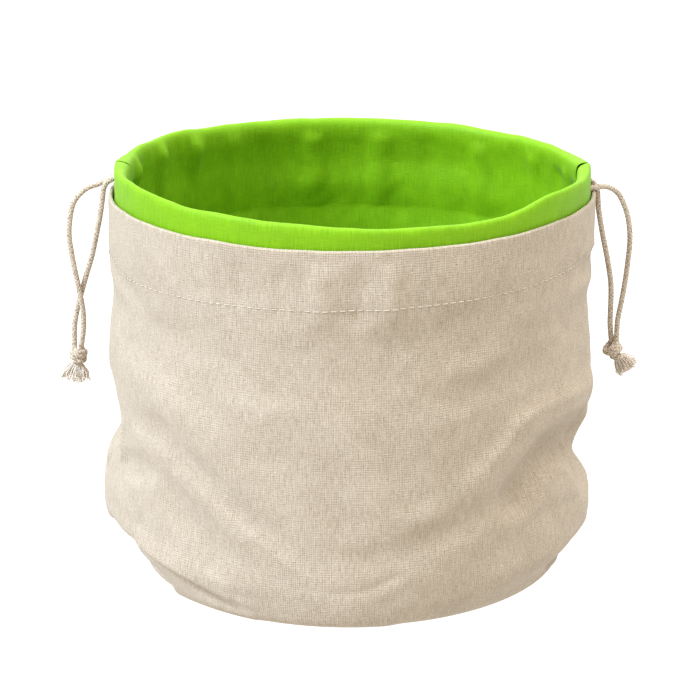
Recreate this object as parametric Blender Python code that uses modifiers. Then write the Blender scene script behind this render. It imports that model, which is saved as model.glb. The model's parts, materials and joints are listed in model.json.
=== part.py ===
"""Linen bread bag: an upright round drawstring bag, open at the mouth, with a green cotton lining.

Metres, +Z up. The origin is the centre of the flat base, on the surface that the bag stands on.
+X is the bag's right side seam and -Y its front. An azimuth turns from 0 at the front to +90 at
the right seam, 180 at the back and -90 at the left seam. The sizes below are in millimetres.
"""
import math

import bmesh
import bpy
from mathutils import Matrix, Vector

MM = 0.001

# Driving sizes.
CLOTH = 1.0              # thickness of one layer of cloth, with its nap
GAP = 0.5                # air left between two layers
LAYER = CLOTH + GAP
CORD = 3.0               # diameter of the drawcords
SEAM_GAP = 0.3           # from a panel's side edge to the side seam's plane
SHELL_BASE_TRIM = 0.5    # from the wall's lower edge in to the linen base disc
LINING_BASE_TRIM = 0.8   # the same for the lining's disc, inside the wall's turned lower edge
MEAN_RADIUS = 149.0      # turns an azimuth into a length along the cloth
COLUMNS = 22             # facets across one half panel
COLUMN = 180.0 / COLUMNS
SHARP_ANGLE = 40.0


def table(columns, *rows):
    """A short table: a dictionary of named columns for each row."""
    return [dict(zip(columns.split(), row)) for row in rows]


# The wall's section: the linen's outer radius at each height, at the front, right, back and left.
SECTIONS = table(
    "name height front right back left",
    ("base rim", 0.0, 128.5, 131.5, 129.5, 131.5),
    ("turned under", 0.8, 134.5, 136.0, 134.8, 136.5),
    ("lower edge", 5.3, 137.2, 138.6, 137.6, 138.8),
    ("corner", 12.0, 139.8, 143.4, 140.6, 141.0),
    ("lip", 20.0, 141.8, 149.4, 143.0, 147.2),
    ("sagged roll", 29.0, 143.6, 150.9, 144.8, 152.8),
    ("fullest", 45.0, 146.0, 150.6, 146.6, 153.8),
    ("low belly", 65.0, 147.8, 149.6, 147.6, 152.0),
    ("belly", 90.0, 148.6, 148.8, 148.2, 149.8),
    ("high belly", 130.0, 148.8, 148.8, 148.6, 149.6),
    ("below neck", 150.0, 148.4, 147.8, 148.0, 147.6),
    ("neck", 170.0, 148.0, 145.4, 147.4, 144.6),
    ("above neck", 185.0, 148.4, 148.2, 148.0, 146.4),
    ("hem stitching", 200.0, 148.8, 149.0, 148.8, 147.6),
    ("hem", 216.0, 149.0, 149.0, 149.0, 147.0),
    ("top edge", 231.5, 149.0, 149.0, 149.0, 146.8),
)
HEIGHTS = [row["height"] for row in SECTIONS]
RADII = {side: [row[side] for row in SECTIONS] for side in ("front", "right", "back", "left")}

# A station is a place along the section: 0 at its first row, 1 at its second, and so on.
STATION = {row["name"]: number for number, row in enumerate(SECTIONS)}
TOP = STATION["top edge"]
# The low half of the wall carries the folds, so it has two rows of facets for each section.
DENSE_FROM, DENSE_TO = STATION["sagged roll"], STATION["high belly"]

# Main folds. Each pushes the cloth out, or in where the value is negative, by start to end along
# its route of (azimuth, height), and dies away at half_width on both sides.
FOLDS = table(
    "name half_width start end route",
    ("left notch", 26.0, -6.0, -6.5, ((-118, 86), (-100, 91), (-82, 91))),
    ("left hollow", 13.0, -3.0, -2.0, ((-70, 90), (-56, 88))),
    ("upper left trough", 18.0, -3.5, -1.5, ((-64, 129), (-46, 120), (-35, 107), (-24, 92))),
    ("left ridge", 13.0, 4.5, 1.5, ((-46, 97), (-29, 75), (-14, 47), (-9, 36))),
    ("left ridge, upper spur", 10.0, 2.5, 1.0, ((-47, 98), (-58, 98))),
    ("left ridge, lower spur", 10.0, 2.5, 1.5, ((-52, 77), (-64, 66))),
    ("trough under left ridge", 16.0, -4.5, -1.5, ((-43, 80), (-34, 66), (-24, 48))),
    ("left lip", 10.0, 1.0, 1.5, ((-82, 29), (-62, 30), (-45, 28), (-30, 22))),
    ("under left lip", 10.0, -3.0, -1.0, ((-84, 12), (-60, 14), (-42, 12))),
    ("bottom crease", 10.0, -1.5, -1.5, ((-10, 29), (0, 28), (9, 33))),
    ("lower right trough", 14.0, -2.5, -1.0, ((5, 16), (18, 25), (29, 30), (42, 42))),
    ("lower right ridge", 13.0, 2.0, 1.5, ((3, 24), (12, 37), (28, 45), (58, 58))),
    ("right trough, upper", 17.0, -5.5, -5.0, ((80, 100), (66, 109), (52, 110), (43, 103))),
    ("right trough, lower", 17.0, -4.5, -2.0, ((38, 88), (30, 76), (20, 69))),
    ("right ridge", 13.0, 2.5, 1.5, ((74, 124), (51, 125), (40, 118), (34, 106), (31, 92))),
    ("right notch", 25.0, -7.0, -6.5, ((108, 66), (92, 69), (74, 68))),
    ("right bulge", 15.0, 2.5, 2.0, ((58, 72), (46, 68))),
    ("back trough", 20.0, -4.0, -2.5, ((142, 118), (160, 98), (176, 90))),
    ("back ridge", 15.0, 3.0, 2.0, ((150, 84), (172, 70), (190, 66))),
    ("back left trough", 18.0, -3.5, -3.0, ((238, 104), (222, 84), (206, 58))),
    ("back roll", 14.0, 2.0, 2.0, ((128, 36), (160, 32), (200, 34), (232, 40))),
)

# The visible face of each layer, inset from the linen's outer face.
LINING_FACE = LAYER + CLOTH              # the lining's wall, below the hem
HEM_FACE = LAYER + CLOTH                 # the linen's turned-in hem
FLAP_FACE = 2 * LAYER                    # the lining's flap, between the hem and its own wall
HEM_LINING_FACE = 3 * LAYER + CLOTH      # the lining's wall, inside the hem and the flap

# The linen's hem at the mouth: over its rolled top edge, then down inside to its turned-in end.
# lift is added to the height, and inset is measured from the linen's outer face.
SHELL_HEM = table(
    "station lift inset",
    (TOP, -HEM_FACE / 2, 0.0),
    (TOP, -0.15 * HEM_FACE, 0.15 * HEM_FACE),
    (TOP, 0.0, HEM_FACE / 2),
    (TOP, -0.15 * HEM_FACE, 0.85 * HEM_FACE),
    (TOP, -HEM_FACE / 2, HEM_FACE),
    (STATION["hem stitching"] - 0.2, 0.0, HEM_FACE),
)

# The lining's collar, which is the drawcords' casing: up the inside of the mouth, over the top,
# and down as a flap behind the linen's hem. A row with a slit stops short of the side seams, so
# that the drawcords can come out.
COLLAR_TOP = 13.9
COLLAR = table(
    "station lift inset slit",
    (STATION["hem stitching"], 0.0, HEM_LINING_FACE, False),
    (STATION["hem"], 0.0, HEM_LINING_FACE, False),
    (TOP, -3.6, 7.4, False),
    (TOP, 0.2, 9.7, False),
    (TOP, 4.4, 11.1, False),
    (TOP, 8.4, 11.5, False),
    (TOP, 11.8, 10.4, False),
    (TOP, 13.7, 8.0, False),
    (TOP, COLLAR_TOP, 5.8, False),
    (TOP, 12.7, 4.0, False),
    (TOP, 9.4, FLAP_FACE, True),
    (TOP, 0.0, FLAP_FACE, True),
    (STATION["hem"] + 0.7, 0.0, FLAP_FACE, False),
    (STATION["hem stitching"], 0.0, FLAP_FACE, False),
)
# The collar stands higher close to a side seam, by rise, up to reach degrees away from it.
COLLAR_PEAKS = table(
    "seam rise reach",
    (-90.0, 4.0, 24.0),
    (90.0, 2.5, 24.0),
)
# Each half panel starts at one side seam and ends at the other. slit_start and slit_end are how
# far its collar stops from them.
HALVES = table(
    "name start slit_start slit_end",
    ("front", -90.0, 5.5, 17.0),
    ("back", 90.0, 7.5, 5.5),
)

# The drawcords' places inside the casing: inset from the linen, and lift above its top edge.
# turn is the way round from the strand that enters the back half.
CASINGS = {
    "left": {"seam": -90.0, "turn": -1.0, "inset": 7.6, "lift": 5.6},
    "right": {"seam": 90.0, "turn": 1.0, "inset": 5.8, "lift": 2.6},
}
# Each drawcord's free strands, as points (x, y, z) from the slit down to the knot.
STRANDS = {
    "left": {
        "back": (
            (-140.2, 4.6, 239.0), (-142.6, 2.5, 238.5), (-145.5, 1.8, 237.3), (-149.0, 1.7, 235.5),
            (-154.0, 1.6, 233.4), (-161.1, 1.2, 230.7), (-168.0, 0.8, 223.8), (-171.0, 0.5, 215.2),
            (-172.4, 0.0, 202.7), (-171.3, -0.3, 190.9), (-169.8, -0.9, 181.4),
            (-167.8, -1.4, 170.5), (-166.3, -1.7, 161.5), (-165.2, -1.4, 151.9),
            (-165.5, -0.8, 142.1), (-167.2, -0.4, 131.0),
        ),
        "front": (
            (-140.2, -4.6, 239.0), (-142.6, -2.6, 238.4), (-145.4, -2.0, 237.0),
            (-148.2, -1.9, 235.0), (-150.0, -2.0, 231.8), (-150.8, -2.0, 227.0),
            (-152.3, -1.9, 217.2), (-155.4, -1.4, 202.7), (-158.7, 0.0, 189.0),
            (-162.9, 1.3, 175.7), (-166.2, 1.9, 164.7), (-168.8, 1.9, 155.7),
            (-171.1, 1.2, 144.1), (-171.6, 0.4, 131.0),
        ),
    },
    "right": {
        "back": (
            (142.2, 8.8, 234.5), (143.7, 5.2, 235.6), (145.6, 3.0, 236.7), (147.6, 2.0, 236.9),
            (149.5, 1.6, 235.5), (150.9, 1.2, 232.4), (151.1, 1.0, 228.0), (151.2, 1.0, 223.8),
            (152.4, 1.0, 216.3), (155.3, 1.0, 201.3), (158.8, 1.0, 185.2), (161.2, 1.0, 170.8),
            (161.6, 1.0, 157.6), (161.6, 1.2, 145.1), (162.7, 1.5, 134.3),
        ),
        "front": (
            (142.1, -15.8, 234.2), (143.4, -13.0, 234.1), (145.6, -10.8, 234.0),
            (148.6, -9.0, 233.9), (152.2, -6.6, 233.8), (157.3, -2.6, 232.6), (163.2, 0.2, 228.5),
            (167.4, 0.8, 221.4), (170.6, 0.5, 211.4), (171.9, 0.0, 199.2), (171.1, -0.3, 185.2),
            (169.6, -0.6, 170.8), (167.6, -1.0, 157.6), (165.9, -1.4, 147.3), (165.6, -1.8, 134.3),
        ),
    },
}
STRAND_SPACING = 2.5 * CORD

# The knot's outline, turned about an axis that points from the strands to the frayed ends.
KNOT = table(
    "name along radius",
    ("crown", -6.6, 0.0),
    ("crown edge", -5.8, 3.0),
    ("shoulder", -3.2, 5.2),
    ("fullest", 0.2, 5.9),
    ("under", 3.6, 4.8),
    ("frayed ends, bound", 5.6, 3.2),
    ("frayed ends, opening", 9.0, 3.9),
    ("frayed ends, spread", 13.0, 5.6),
    ("frayed ends, cut", 15.8, 6.6),
    ("frayed ends, middle", 15.4, 0.0),
)
KNOT_STEPS = 16
KNOT_PLACES = {
    "left": {"centre": (-169.4, 0.0, 124.2), "axis": (-0.16, 0.05, -1.0)},
    "right": {"centre": (164.6, 0.0, 127.6), "axis": (0.72, 0.0, -0.9)},
}

FINISHES = {
    "linen": {"colour": (0.62, 0.52, 0.41), "roughness": 0.9},
    "green_cotton": {"colour": (0.27, 0.58, 0.02), "roughness": 0.85},
    "cotton_cord": {"colour": (0.68, 0.58, 0.47), "roughness": 0.9},
}


def wrapped(degrees):
    """The same direction, as an angle from -180 to 180."""
    return (degrees + 180.0) % 360.0 - 180.0


def smooth(values, place):
    """The value at a place between a list's items, on a curve that runs through all of them."""
    last = len(values) - 1
    first = min(max(math.floor(place), 0), last - 1)
    t = place - first
    before, here = values[max(first - 1, 0)], values[first]
    there, after = values[first + 1], values[min(first + 2, last)]
    return 0.5 * (
        2 * here
        + (there - before) * t
        + (2 * before - 5 * here + 4 * there - after) * t ** 2
        + (3 * here - before - 3 * there + after) * t ** 3
    )


def side_shares(azimuth):
    """How much each side's radius counts at an azimuth. The shares add up to 1."""
    ahead, aside = math.cos(math.radians(azimuth)), math.sin(math.radians(azimuth))
    towards = {"front": ahead, "right": aside, "back": -ahead, "left": -aside}
    return {side: max(value, 0.0) ** 2 for side, value in towards.items()}


def distance_to_leg(azimuth, height, leg_start, leg_end):
    """Distance over the cloth to one straight leg of a fold, and how far along the leg that is."""
    arc = math.radians(1.0) * MEAN_RADIUS
    start = Vector((wrapped(leg_start[0] - azimuth) * arc, leg_start[1] - height))
    run = Vector(((leg_end[0] - leg_start[0]) * arc, leg_end[1] - leg_start[1]))
    along = min(max(-start.dot(run) / run.length_squared, 0.0), 1.0)
    return (start + run * along).length, along


def fold_push(azimuth, height):
    """How far all the folds together push the cloth out at a place."""
    total = 0.0
    for fold in FOLDS:
        legs = list(zip(fold["route"], fold["route"][1:]))
        reached = []
        for number, (leg_start, leg_end) in enumerate(legs):
            distance, along = distance_to_leg(azimuth, height, leg_start, leg_end)
            reached.append((distance, (number + along) / len(legs)))
        nearest, along = min(reached)
        if nearest < fold["half_width"]:
            push = fold["start"] + (fold["end"] - fold["start"]) * along
            total += push * (1.0 - (nearest / fold["half_width"]) ** 2) ** 2
    return total


def wall_point(azimuth, station):
    """A point of the linen's outer face."""
    height = smooth(HEIGHTS, station)
    shares = side_shares(azimuth)
    radius = sum(smooth(RADII[side], station) * share for side, share in shares.items())
    radius += fold_push(azimuth, height)
    angle = math.radians(azimuth)
    return Vector((radius * math.sin(angle), -radius * math.cos(angle), height))


def inward(azimuth, station):
    """The way straight into the bag, mitred so that the facets above and below move in by 1."""
    row = 0.5 if DENSE_FROM < station < DENSE_TO else 1.0
    across = wall_point(azimuth + COLUMN, station) - wall_point(azimuth - COLUMN, station)
    here = wall_point(azimuth, station)
    below = here - wall_point(azimuth, max(station - row, 0.0))
    above = wall_point(azimuth, min(station + row, TOP)) - here
    bend = below.angle(above) if min(below.length, above.length) > 0.0 else 0.0
    return (below + above).cross(across).normalized() / math.cos(bend / 2)


def cloth_point(azimuth, station, lift, inset):
    """A point inset from the linen's outer face, and lifted."""
    return wall_point(azimuth, station) + inward(azimuth, station) * inset + Vector((0, 0, lift))


def collar_rise(azimuth, lift):
    """How much higher a part of the collar stands at an azimuth. The top edge rises most."""
    rise = 0.0
    for peak in COLLAR_PEAKS:
        away = abs(wrapped(azimuth - peak["seam"])) / peak["reach"]
        if away < 1.0:
            rise += peak["rise"] * (1.0 - away) ** 2 * (1.0 + 2.0 * away)
    return rise * max(lift, 0.0) / COLLAR_TOP


def half_azimuths(half):
    """The azimuths of a half panel's columns, from one side seam to the other."""
    trim = math.degrees(SEAM_GAP / MEAN_RADIUS)
    inner = [half["start"] + column * COLUMN for column in range(1, COLUMNS)]
    return [half["start"] + trim, *inner, half["start"] + 180.0 - trim]


def wall_rows(last, inset):
    """The rows of a panel's wall, from the base rim up to a station."""
    stations = []
    for station in range(last + 1):
        stations.append(station)
        if DENSE_FROM <= station < DENSE_TO:
            stations.append(station + 0.5)
    return [{"station": station, "lift": 0.0, "inset": inset} for station in stations]


def set_back(points, end, neighbour, distance):
    """Move the end of a row towards its neighbour, along the facet between them."""
    share = distance / (points[neighbour] - points[end]).length
    points[end] = points[end].lerp(points[neighbour], share)


def row_points(row, half):
    """The points of one row of a half panel."""
    points = []
    for azimuth in half_azimuths(half):
        lift = row["lift"] + collar_rise(azimuth, row["lift"])
        points.append(cloth_point(azimuth, row["station"], lift, row["inset"]))
    if row.get("slit"):
        set_back(points, 0, 1, half["slit_start"])
        set_back(points, -1, -2, half["slit_end"])
    return points


def mesh_object(name, bm, collection, material):
    """A named object with its material, made from a bmesh."""
    mesh = bpy.data.meshes.new(name)
    bm.to_mesh(mesh)
    bm.free()
    mesh.materials.append(material)
    mesh.shade_smooth()
    mesh.set_sharp_from_angle(angle=math.radians(SHARP_ANGLE))
    obj = bpy.data.objects.new(name, mesh)
    collection.objects.link(obj)
    return obj


def thicken(obj):
    """Give a surface the thickness of the cloth, on the side away from its visible face."""
    solid = obj.modifiers.new("cloth thickness", "SOLIDIFY")
    solid.thickness = CLOTH * MM
    solid.offset = -1.0
    solid.use_even_offset = True


def cloth_panel(name, rows, half, faces_in, collection, material):
    """A half panel: a flat grid of cloth, bent to its rows' points. faces_in is for a lining."""
    bm = bmesh.new()
    bmesh.ops.create_grid(bm, x_segments=COLUMNS, y_segments=len(rows) - 1, size=1.0)
    points = [row_points(row, half) for row in rows]
    for vert in bm.verts:
        column = round((vert.co.x + 1.0) / 2.0 * COLUMNS)
        row = round((vert.co.y + 1.0) / 2.0 * (len(rows) - 1))
        vert.co = points[row][column] * MM
    if faces_in:
        bmesh.ops.reverse_faces(bm, faces=bm.faces)
    thicken(mesh_object(name, bm, collection, material))


def base_disc(name, top, trim, collection, material):
    """A round of cloth that closes the bottom, cut to the wall's lower edge."""
    bm = bmesh.new()
    bmesh.ops.create_circle(bm, cap_ends=True, segments=2 * COLUMNS, radius=1.0)
    for vert in bm.verts:
        azimuth = math.degrees(math.atan2(vert.co.x, -vert.co.y))
        rim = wall_point(azimuth, STATION["base rim"])
        vert.co = (rim - rim.normalized() * trim + Vector((0, 0, top))) * MM
    thicken(mesh_object(name, bm, collection, material))


def casing_run(casing):
    """A drawcord's hidden run, once round the bag inside the collar."""
    points = []
    for column in range(1, 2 * COLUMNS):
        azimuth = casing["seam"] + casing["turn"] * column * COLUMN
        lift = casing["lift"] + collar_rise(azimuth, casing["lift"])
        points.append(cloth_point(azimuth, TOP, lift, casing["inset"]))
    return points


def cord_path(side):
    """The whole drawcord: from the knot up, round inside the casing, and down to the knot."""
    up = [Vector(point) for point in reversed(STRANDS[side]["back"])]
    hidden = casing_run(CASINGS[side])
    down = [Vector(point) for point in STRANDS[side]["front"]]
    route = up + hidden + down
    path = []
    for leg, (here, there) in enumerate(zip(route, route[1:])):
        in_casing = len(up) <= leg < len(up) + len(hidden) - 1
        steps = 1 if in_casing else max(1, round((there - here).length / STRAND_SPACING))
        path += [smooth(route, leg + step / steps) for step in range(steps)]
    return path + [route[-1]]


def drawcord(name, side, collection, material):
    """One drawcord, a round tube along its whole path."""
    path = cord_path(side)
    curve = bpy.data.curves.new(name, "CURVE")
    curve.dimensions = "3D"
    curve.bevel_depth = CORD / 2 * MM
    curve.bevel_resolution = 2
    curve.use_fill_caps = True
    spline = curve.splines.new("POLY")
    spline.points.add(len(path) - 1)
    for point, place in zip(spline.points, path):
        point.co = (*(place * MM), 1.0)
    curve.materials.append(material)
    collection.objects.link(bpy.data.objects.new(name, curve))


def knot(name, side, collection, material):
    """The knot that joins a drawcord's two strands, with its frayed ends."""
    bm = bmesh.new()
    verts = [bm.verts.new((row["radius"] * MM, 0.0, -row["along"] * MM)) for row in KNOT]
    for upper, lower in zip(verts, verts[1:]):
        bm.edges.new((upper, lower))
    obj = mesh_object(name, bm, collection, material)
    turned = obj.modifiers.new("turned", "SCREW")
    turned.angle = math.tau
    turned.steps = turned.render_steps = KNOT_STEPS
    turned.use_merge_vertices = True
    turned.merge_threshold = 0.00001
    place = KNOT_PLACES[side]
    turn = (-Vector(place["axis"])).to_track_quat("Z", "Y")
    obj.matrix_world = Matrix.LocRotScale(Vector(place["centre"]) * MM, turn, None)


def finish_material(name):
    """The plain finish of one kind of piece."""
    made = bpy.data.materials.new(name)
    made.use_nodes = True
    colour = (*FINISHES[name]["colour"], 1.0)
    shader = made.node_tree.nodes["Principled BSDF"]
    shader.inputs["Base Color"].default_value = colour
    shader.inputs["Roughness"].default_value = FINISHES[name]["roughness"]
    shader.inputs["Metallic"].default_value = 0.0
    made.diffuse_color = colour
    return made


def build():
    """Clear the scene and make every piece of the bag."""
    for obj in list(bpy.data.objects):
        bpy.data.objects.remove(obj)
    collection = bpy.data.collections.new("linen_bread_bag")
    bpy.context.scene.collection.children.link(collection)
    linen, green, cord = (finish_material(name) for name in FINISHES)
    shell_rows = wall_rows(STATION["hem"], 0.0) + SHELL_HEM
    lining_rows = wall_rows(STATION["above neck"], LINING_FACE) + COLLAR
    for half in HALVES:
        cloth_panel(f"shell_{half['name']}", shell_rows, half, False, collection, linen)
        cloth_panel(f"lining_{half['name']}", lining_rows, half, True, collection, green)
    base_disc("shell_base", CLOTH, SHELL_BASE_TRIM, collection, linen)
    base_disc("lining_base", LAYER + CLOTH, LINING_BASE_TRIM, collection, green)
    for side in ("left", "right"):
        drawcord(f"drawcord_{side}", side, collection, cord)
        knot(f"knot_{side}", side, collection, cord)


build()
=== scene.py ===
"""Linen bread bag: the shown cloth, cords and knots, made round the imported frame.

The tables are in millimetres and degrees, as a maker would measure them. The origin is the centre
of the base, on the floor. +X is the right side seam and -Y the front. An azimuth turns from 0 at
the front to +90 at the right seam, 180 at the back and -90 at the left seam.
"""
import json
import math

import bpy
import numpy as np
from mathutils import Matrix, Vector

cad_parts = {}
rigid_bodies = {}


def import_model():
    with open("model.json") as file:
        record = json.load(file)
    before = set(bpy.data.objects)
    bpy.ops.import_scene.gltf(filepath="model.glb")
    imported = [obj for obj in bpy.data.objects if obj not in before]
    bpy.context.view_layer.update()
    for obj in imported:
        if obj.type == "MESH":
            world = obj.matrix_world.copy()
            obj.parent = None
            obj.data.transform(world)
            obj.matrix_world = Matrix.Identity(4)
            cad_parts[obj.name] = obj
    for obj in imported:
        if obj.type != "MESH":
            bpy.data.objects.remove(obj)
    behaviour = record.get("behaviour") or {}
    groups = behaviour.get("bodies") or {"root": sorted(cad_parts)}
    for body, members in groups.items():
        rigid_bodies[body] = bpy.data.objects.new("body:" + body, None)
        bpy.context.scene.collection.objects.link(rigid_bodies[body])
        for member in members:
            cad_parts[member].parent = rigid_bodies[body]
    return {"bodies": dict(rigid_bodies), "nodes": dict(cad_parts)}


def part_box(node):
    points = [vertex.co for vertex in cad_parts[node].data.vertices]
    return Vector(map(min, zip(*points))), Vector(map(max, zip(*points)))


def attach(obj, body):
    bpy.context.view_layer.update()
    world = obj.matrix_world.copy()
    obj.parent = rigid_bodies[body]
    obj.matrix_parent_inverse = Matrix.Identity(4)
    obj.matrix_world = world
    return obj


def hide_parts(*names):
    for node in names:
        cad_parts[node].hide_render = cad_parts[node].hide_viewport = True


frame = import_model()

BODY = "root"
FRAME_PARTS = {*frame["nodes"].values(), *frame["bodies"].values()}
for spare in [obj for obj in bpy.data.objects if obj not in FRAME_PARTS]:
    bpy.data.objects.remove(spare)
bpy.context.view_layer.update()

# ------------------------------------------------------------------ sizes and tables
TOP_EDGE = 231.5                                 # height of the linen's edge at the mouth
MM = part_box("shell_front")[1].z / TOP_EDGE       # one table millimetre in the frame, in metres
MEAN_RADIUS = 149.0                              # turns an azimuth into a length along the cloth
ARC = math.radians(1.0) * MEAN_RADIUS            # that length for one degree
HALF_LENGTH = 180.0 * ARC
CORD = 3.0
LINEN_THICKNESS, COTTON_THICKNESS = 0.8, 0.6
SHELL_STEP, LINING_STEP = 2.0, 2.2               # between the columns of a panel
WALL_STEP, COLLAR_STEP, ROLL_STEP = 1.6, 1.3, 0.4    # between its rows


def table(columns, *rows):
    """A short table: a dictionary of named columns for each row."""
    return [dict(zip(columns.split(), row)) for row in rows]


# The wall's section: the linen's outer radius at each height, at the front, right, back and left.
SECTIONS = table(
    "name height front right back left",
    ("base rim", 0.0, 130.0, 129.5, 129.5, 130.5),
    ("turned under", 0.8, 136.3, 133.2, 134.8, 135.2),
    ("lower edge", 5.3, 145.0, 132.7, 137.6, 133.2),
    ("corner", 12.0, 147.8, 136.8, 140.6, 136.0),
    ("lip", 20.0, 148.6, 144.2, 143.0, 143.9),
    ("sagged roll", 29.0, 148.8, 150.0, 144.8, 153.0),
    ("fullest", 45.0, 148.5, 150.8, 146.6, 154.0),
    ("low belly", 65.0, 148.5, 149.6, 147.6, 151.6),
    ("belly", 90.0, 148.6, 148.8, 148.2, 149.8),
    ("high belly", 130.0, 148.8, 148.8, 148.6, 149.6),
    ("below neck", 150.0, 148.4, 147.8, 148.0, 147.6),
    ("neck", 170.0, 148.0, 145.4, 147.4, 144.6),
    ("above neck", 185.0, 148.4, 148.2, 148.0, 146.4),
    ("hem stitching", 200.0, 148.8, 149.0, 148.8, 147.6),
    ("hem", 216.0, 149.0, 149.0, 149.0, 147.0),
    ("top edge", TOP_EDGE, 149.0, 149.0, 149.0, 146.8),
)
HEIGHTS = [row["height"] for row in SECTIONS]
RADII = {side: [row[side] for row in SECTIONS] for side in ("front", "right", "back", "left")}
TOP = len(SECTIONS) - 1.0

# Main folds. Each pushes the cloth out, or in where the value is negative, by start to end along
# its route of (azimuth, height), and dies away at half_width on both sides.
FOLDS = table(
    "name half_width start end route",
    ("left notch", 33.0, -13.4, -13.6, ((-118, 90), (-100, 96), (-80, 96))),
    ("left hollow", 13.0, -4.0, -3.4, ((-63, 77), (-54, 81))),
    ("left ridge", 14.0, 1.4, 0.8, ((-45, 93), (-29, 69), (-14, 42), (-8, 33))),
    ("left ridge, upper spur", 9.0, 0.7, 0.6, ((-47, 98), (-58, 99))),
    ("left lip", 11.0, 1.2, 1.8, ((-56, 34), (-45, 30), (-30, 21))),
    ("dent over left lip", 13.0, -6.0, -3.8, ((-76, 23), (-68, 26), (-60, 26))),
    ("under left lip", 17.0, -5.6, -4.2, ((-86, 2), (-72, 2), (-56, 2))),
    ("left base edge", 9.0, 0.6, 1.4, ((-50, 11), (-38, 8), (-24, 4))),
    ("bottom crease", 10.0, -0.3, -0.4, ((-8, 29), (0, 27), (9, 33))),
    ("lower right trough", 14.0, -0.5, -1.2, ((9, 16), (20, 22), (32, 31), (43, 45), (53, 54))),
    ("lower right ridge", 13.0, 0.9, 0.1,
     ((64, 64), (46, 65), (33, 57), (24, 47), (13, 36), (4, 27))),
    ("right trough", 20.0, -9.5, -10.5,
     ((78, 86), (67, 91), (58, 95), (52, 93), (47, 85), (42, 74))),
    ("trough over lower right ridge", 13.0, -1.7, -0.5,
     ((36, 70), (29, 67), (21, 60), (12, 52), (3, 47))),
    ("right ridge", 18.0, 3.4, 2.8,
     ((76, 115), (60, 118), (50, 118), (43, 114), (37, 102), (30, 88))),
    ("right notch", 26.0, -10.6, -10.0, ((108, 64), (92, 67), (76, 67))),
    ("right bulge", 13.0, 0.8, 0.6, ((60, 68), (50, 66))),
    ("under right trough", 20.0, -2.4, -1.6, ((72, 74), (60, 73), (52, 66))),
    ("under right side", 16.0, -2.2, -1.6, ((14, 3), (30, 4), (50, 6), (70, 8))),
    ("under right side, outer end", 13.0, -2.6, -3.2, ((67, 14), (79, 16))),
    ("back trough", 20.0, -4.0, -2.5, ((142, 118), (160, 98), (176, 90))),
    ("back ridge", 15.0, 3.0, 2.0, ((150, 84), (172, 70), (190, 66))),
    ("back left trough", 18.0, -3.5, -3.0, ((238, 104), (222, 84), (206, 58))),
    ("back roll", 14.0, 2.0, 2.0, ((128, 36), (160, 32), (200, 34), (232, 40))),
)
# Soft swells and hollows between the main folds.
SWELLS = table(
    "name half_width start end route",
    ("flank ridge", 20.0, 3.0, 2.0,
     ((-72, 166), (-62, 151), (-54, 140), (-45, 130), (-36, 118), (-28, 103), (-19, 85),
      (-12, 70))),
    ("flank hollow", 14.0, -0.9, -0.8,
     ((-48, 188), (-38, 176), (-28, 164), (-24, 148), (-20, 124))),
    ("upper left trough", 14.0, -1.4, -3.2,
     ((-74, 124), (-64, 115), (-54, 111), (-46, 106), (-40, 94), (-31, 79), (-19, 60), (-12, 48))),
    ("trough under left ridge", 18.0, -3.2, -2.4,
     ((-54, 88), (-47, 77), (-40, 64), (-34, 53), (-28, 40), (-21, 28))),
    ("neck hollow", 13.0, -1.0, -0.8, ((-72, 152), (-61, 150), (-48, 146))),
    ("upper right ridge", 15.0, 1.8, 1.3, ((44, 199), (40, 185), (35, 167), (28, 154), (14, 140))),
    ("upper right hollow", 14.0, -1.1, -1.0, ((0, 174), (12, 178), (22, 183), (33, 190))),
    ("right hollow", 15.0, -1.3, -1.3, ((12, 136), (22, 142), (34, 147), (50, 152), (78, 146))),
    ("middle hollow", 15.0, -0.8, -0.8, ((-20, 132), (-16, 116), (-11, 88))),
    ("middle swell", 18.0, 0.7, 0.7, ((0, 136), (4, 100), (8, 64))),
    ("swell over lower right", 13.0, 1.0, 0.9, ((30, 82), (20, 74), (12, 67), (-4, 56))),
    ("hem pucker", 11.0, 1.9, 1.5, ((-6, 226), (-6, 184))),
    ("hem pucker", 10.0, -1.8, -1.5, ((2, 226), (2, 182))),
    ("hem pucker", 9.0, 1.6, 1.3, ((9, 226), (9, 184))),
    ("hem pucker", 7.0, -0.7, -0.6, ((-15, 224), (-15, 188))),
    ("hem pucker", 7.0, 0.9, 0.9, ((-32, 226), (-32, 190))),
    ("hem pucker", 7.0, -0.8, -0.9, ((-25, 224), (-25, 190))),
    ("hem pucker", 8.0, 0.8, 0.8, ((36, 226), (35, 192))),
    ("hem dent", 10.0, -2.4, -2.0, ((-86, 194), (-74, 190), (-62, 185), (-54, 182))),
    ("hem dent", 11.0, -2.4, -2.4, ((58, 196), (70, 194), (82, 191), (94, 190))),
    ("back hem pucker", 7.0, -0.4, -0.4, ((168, 216), (167, 200))),
    ("back hem pucker", 7.0, 0.4, 0.4, ((192, 218), (193, 202))),
    ("back hem pucker", 7.0, -0.4, -0.4, ((148, 214), (148, 200))),
    ("back flank ridge", 15.0, 1.2, 0.8, ((236, 168), (214, 148), (204, 112))),
    ("back flank hollow", 14.0, -1.0, -0.8, ((128, 160), (146, 150), (170, 146))),
    ("back middle swell", 18.0, 0.6, 0.6, ((180, 128), (186, 100))),
)
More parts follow.
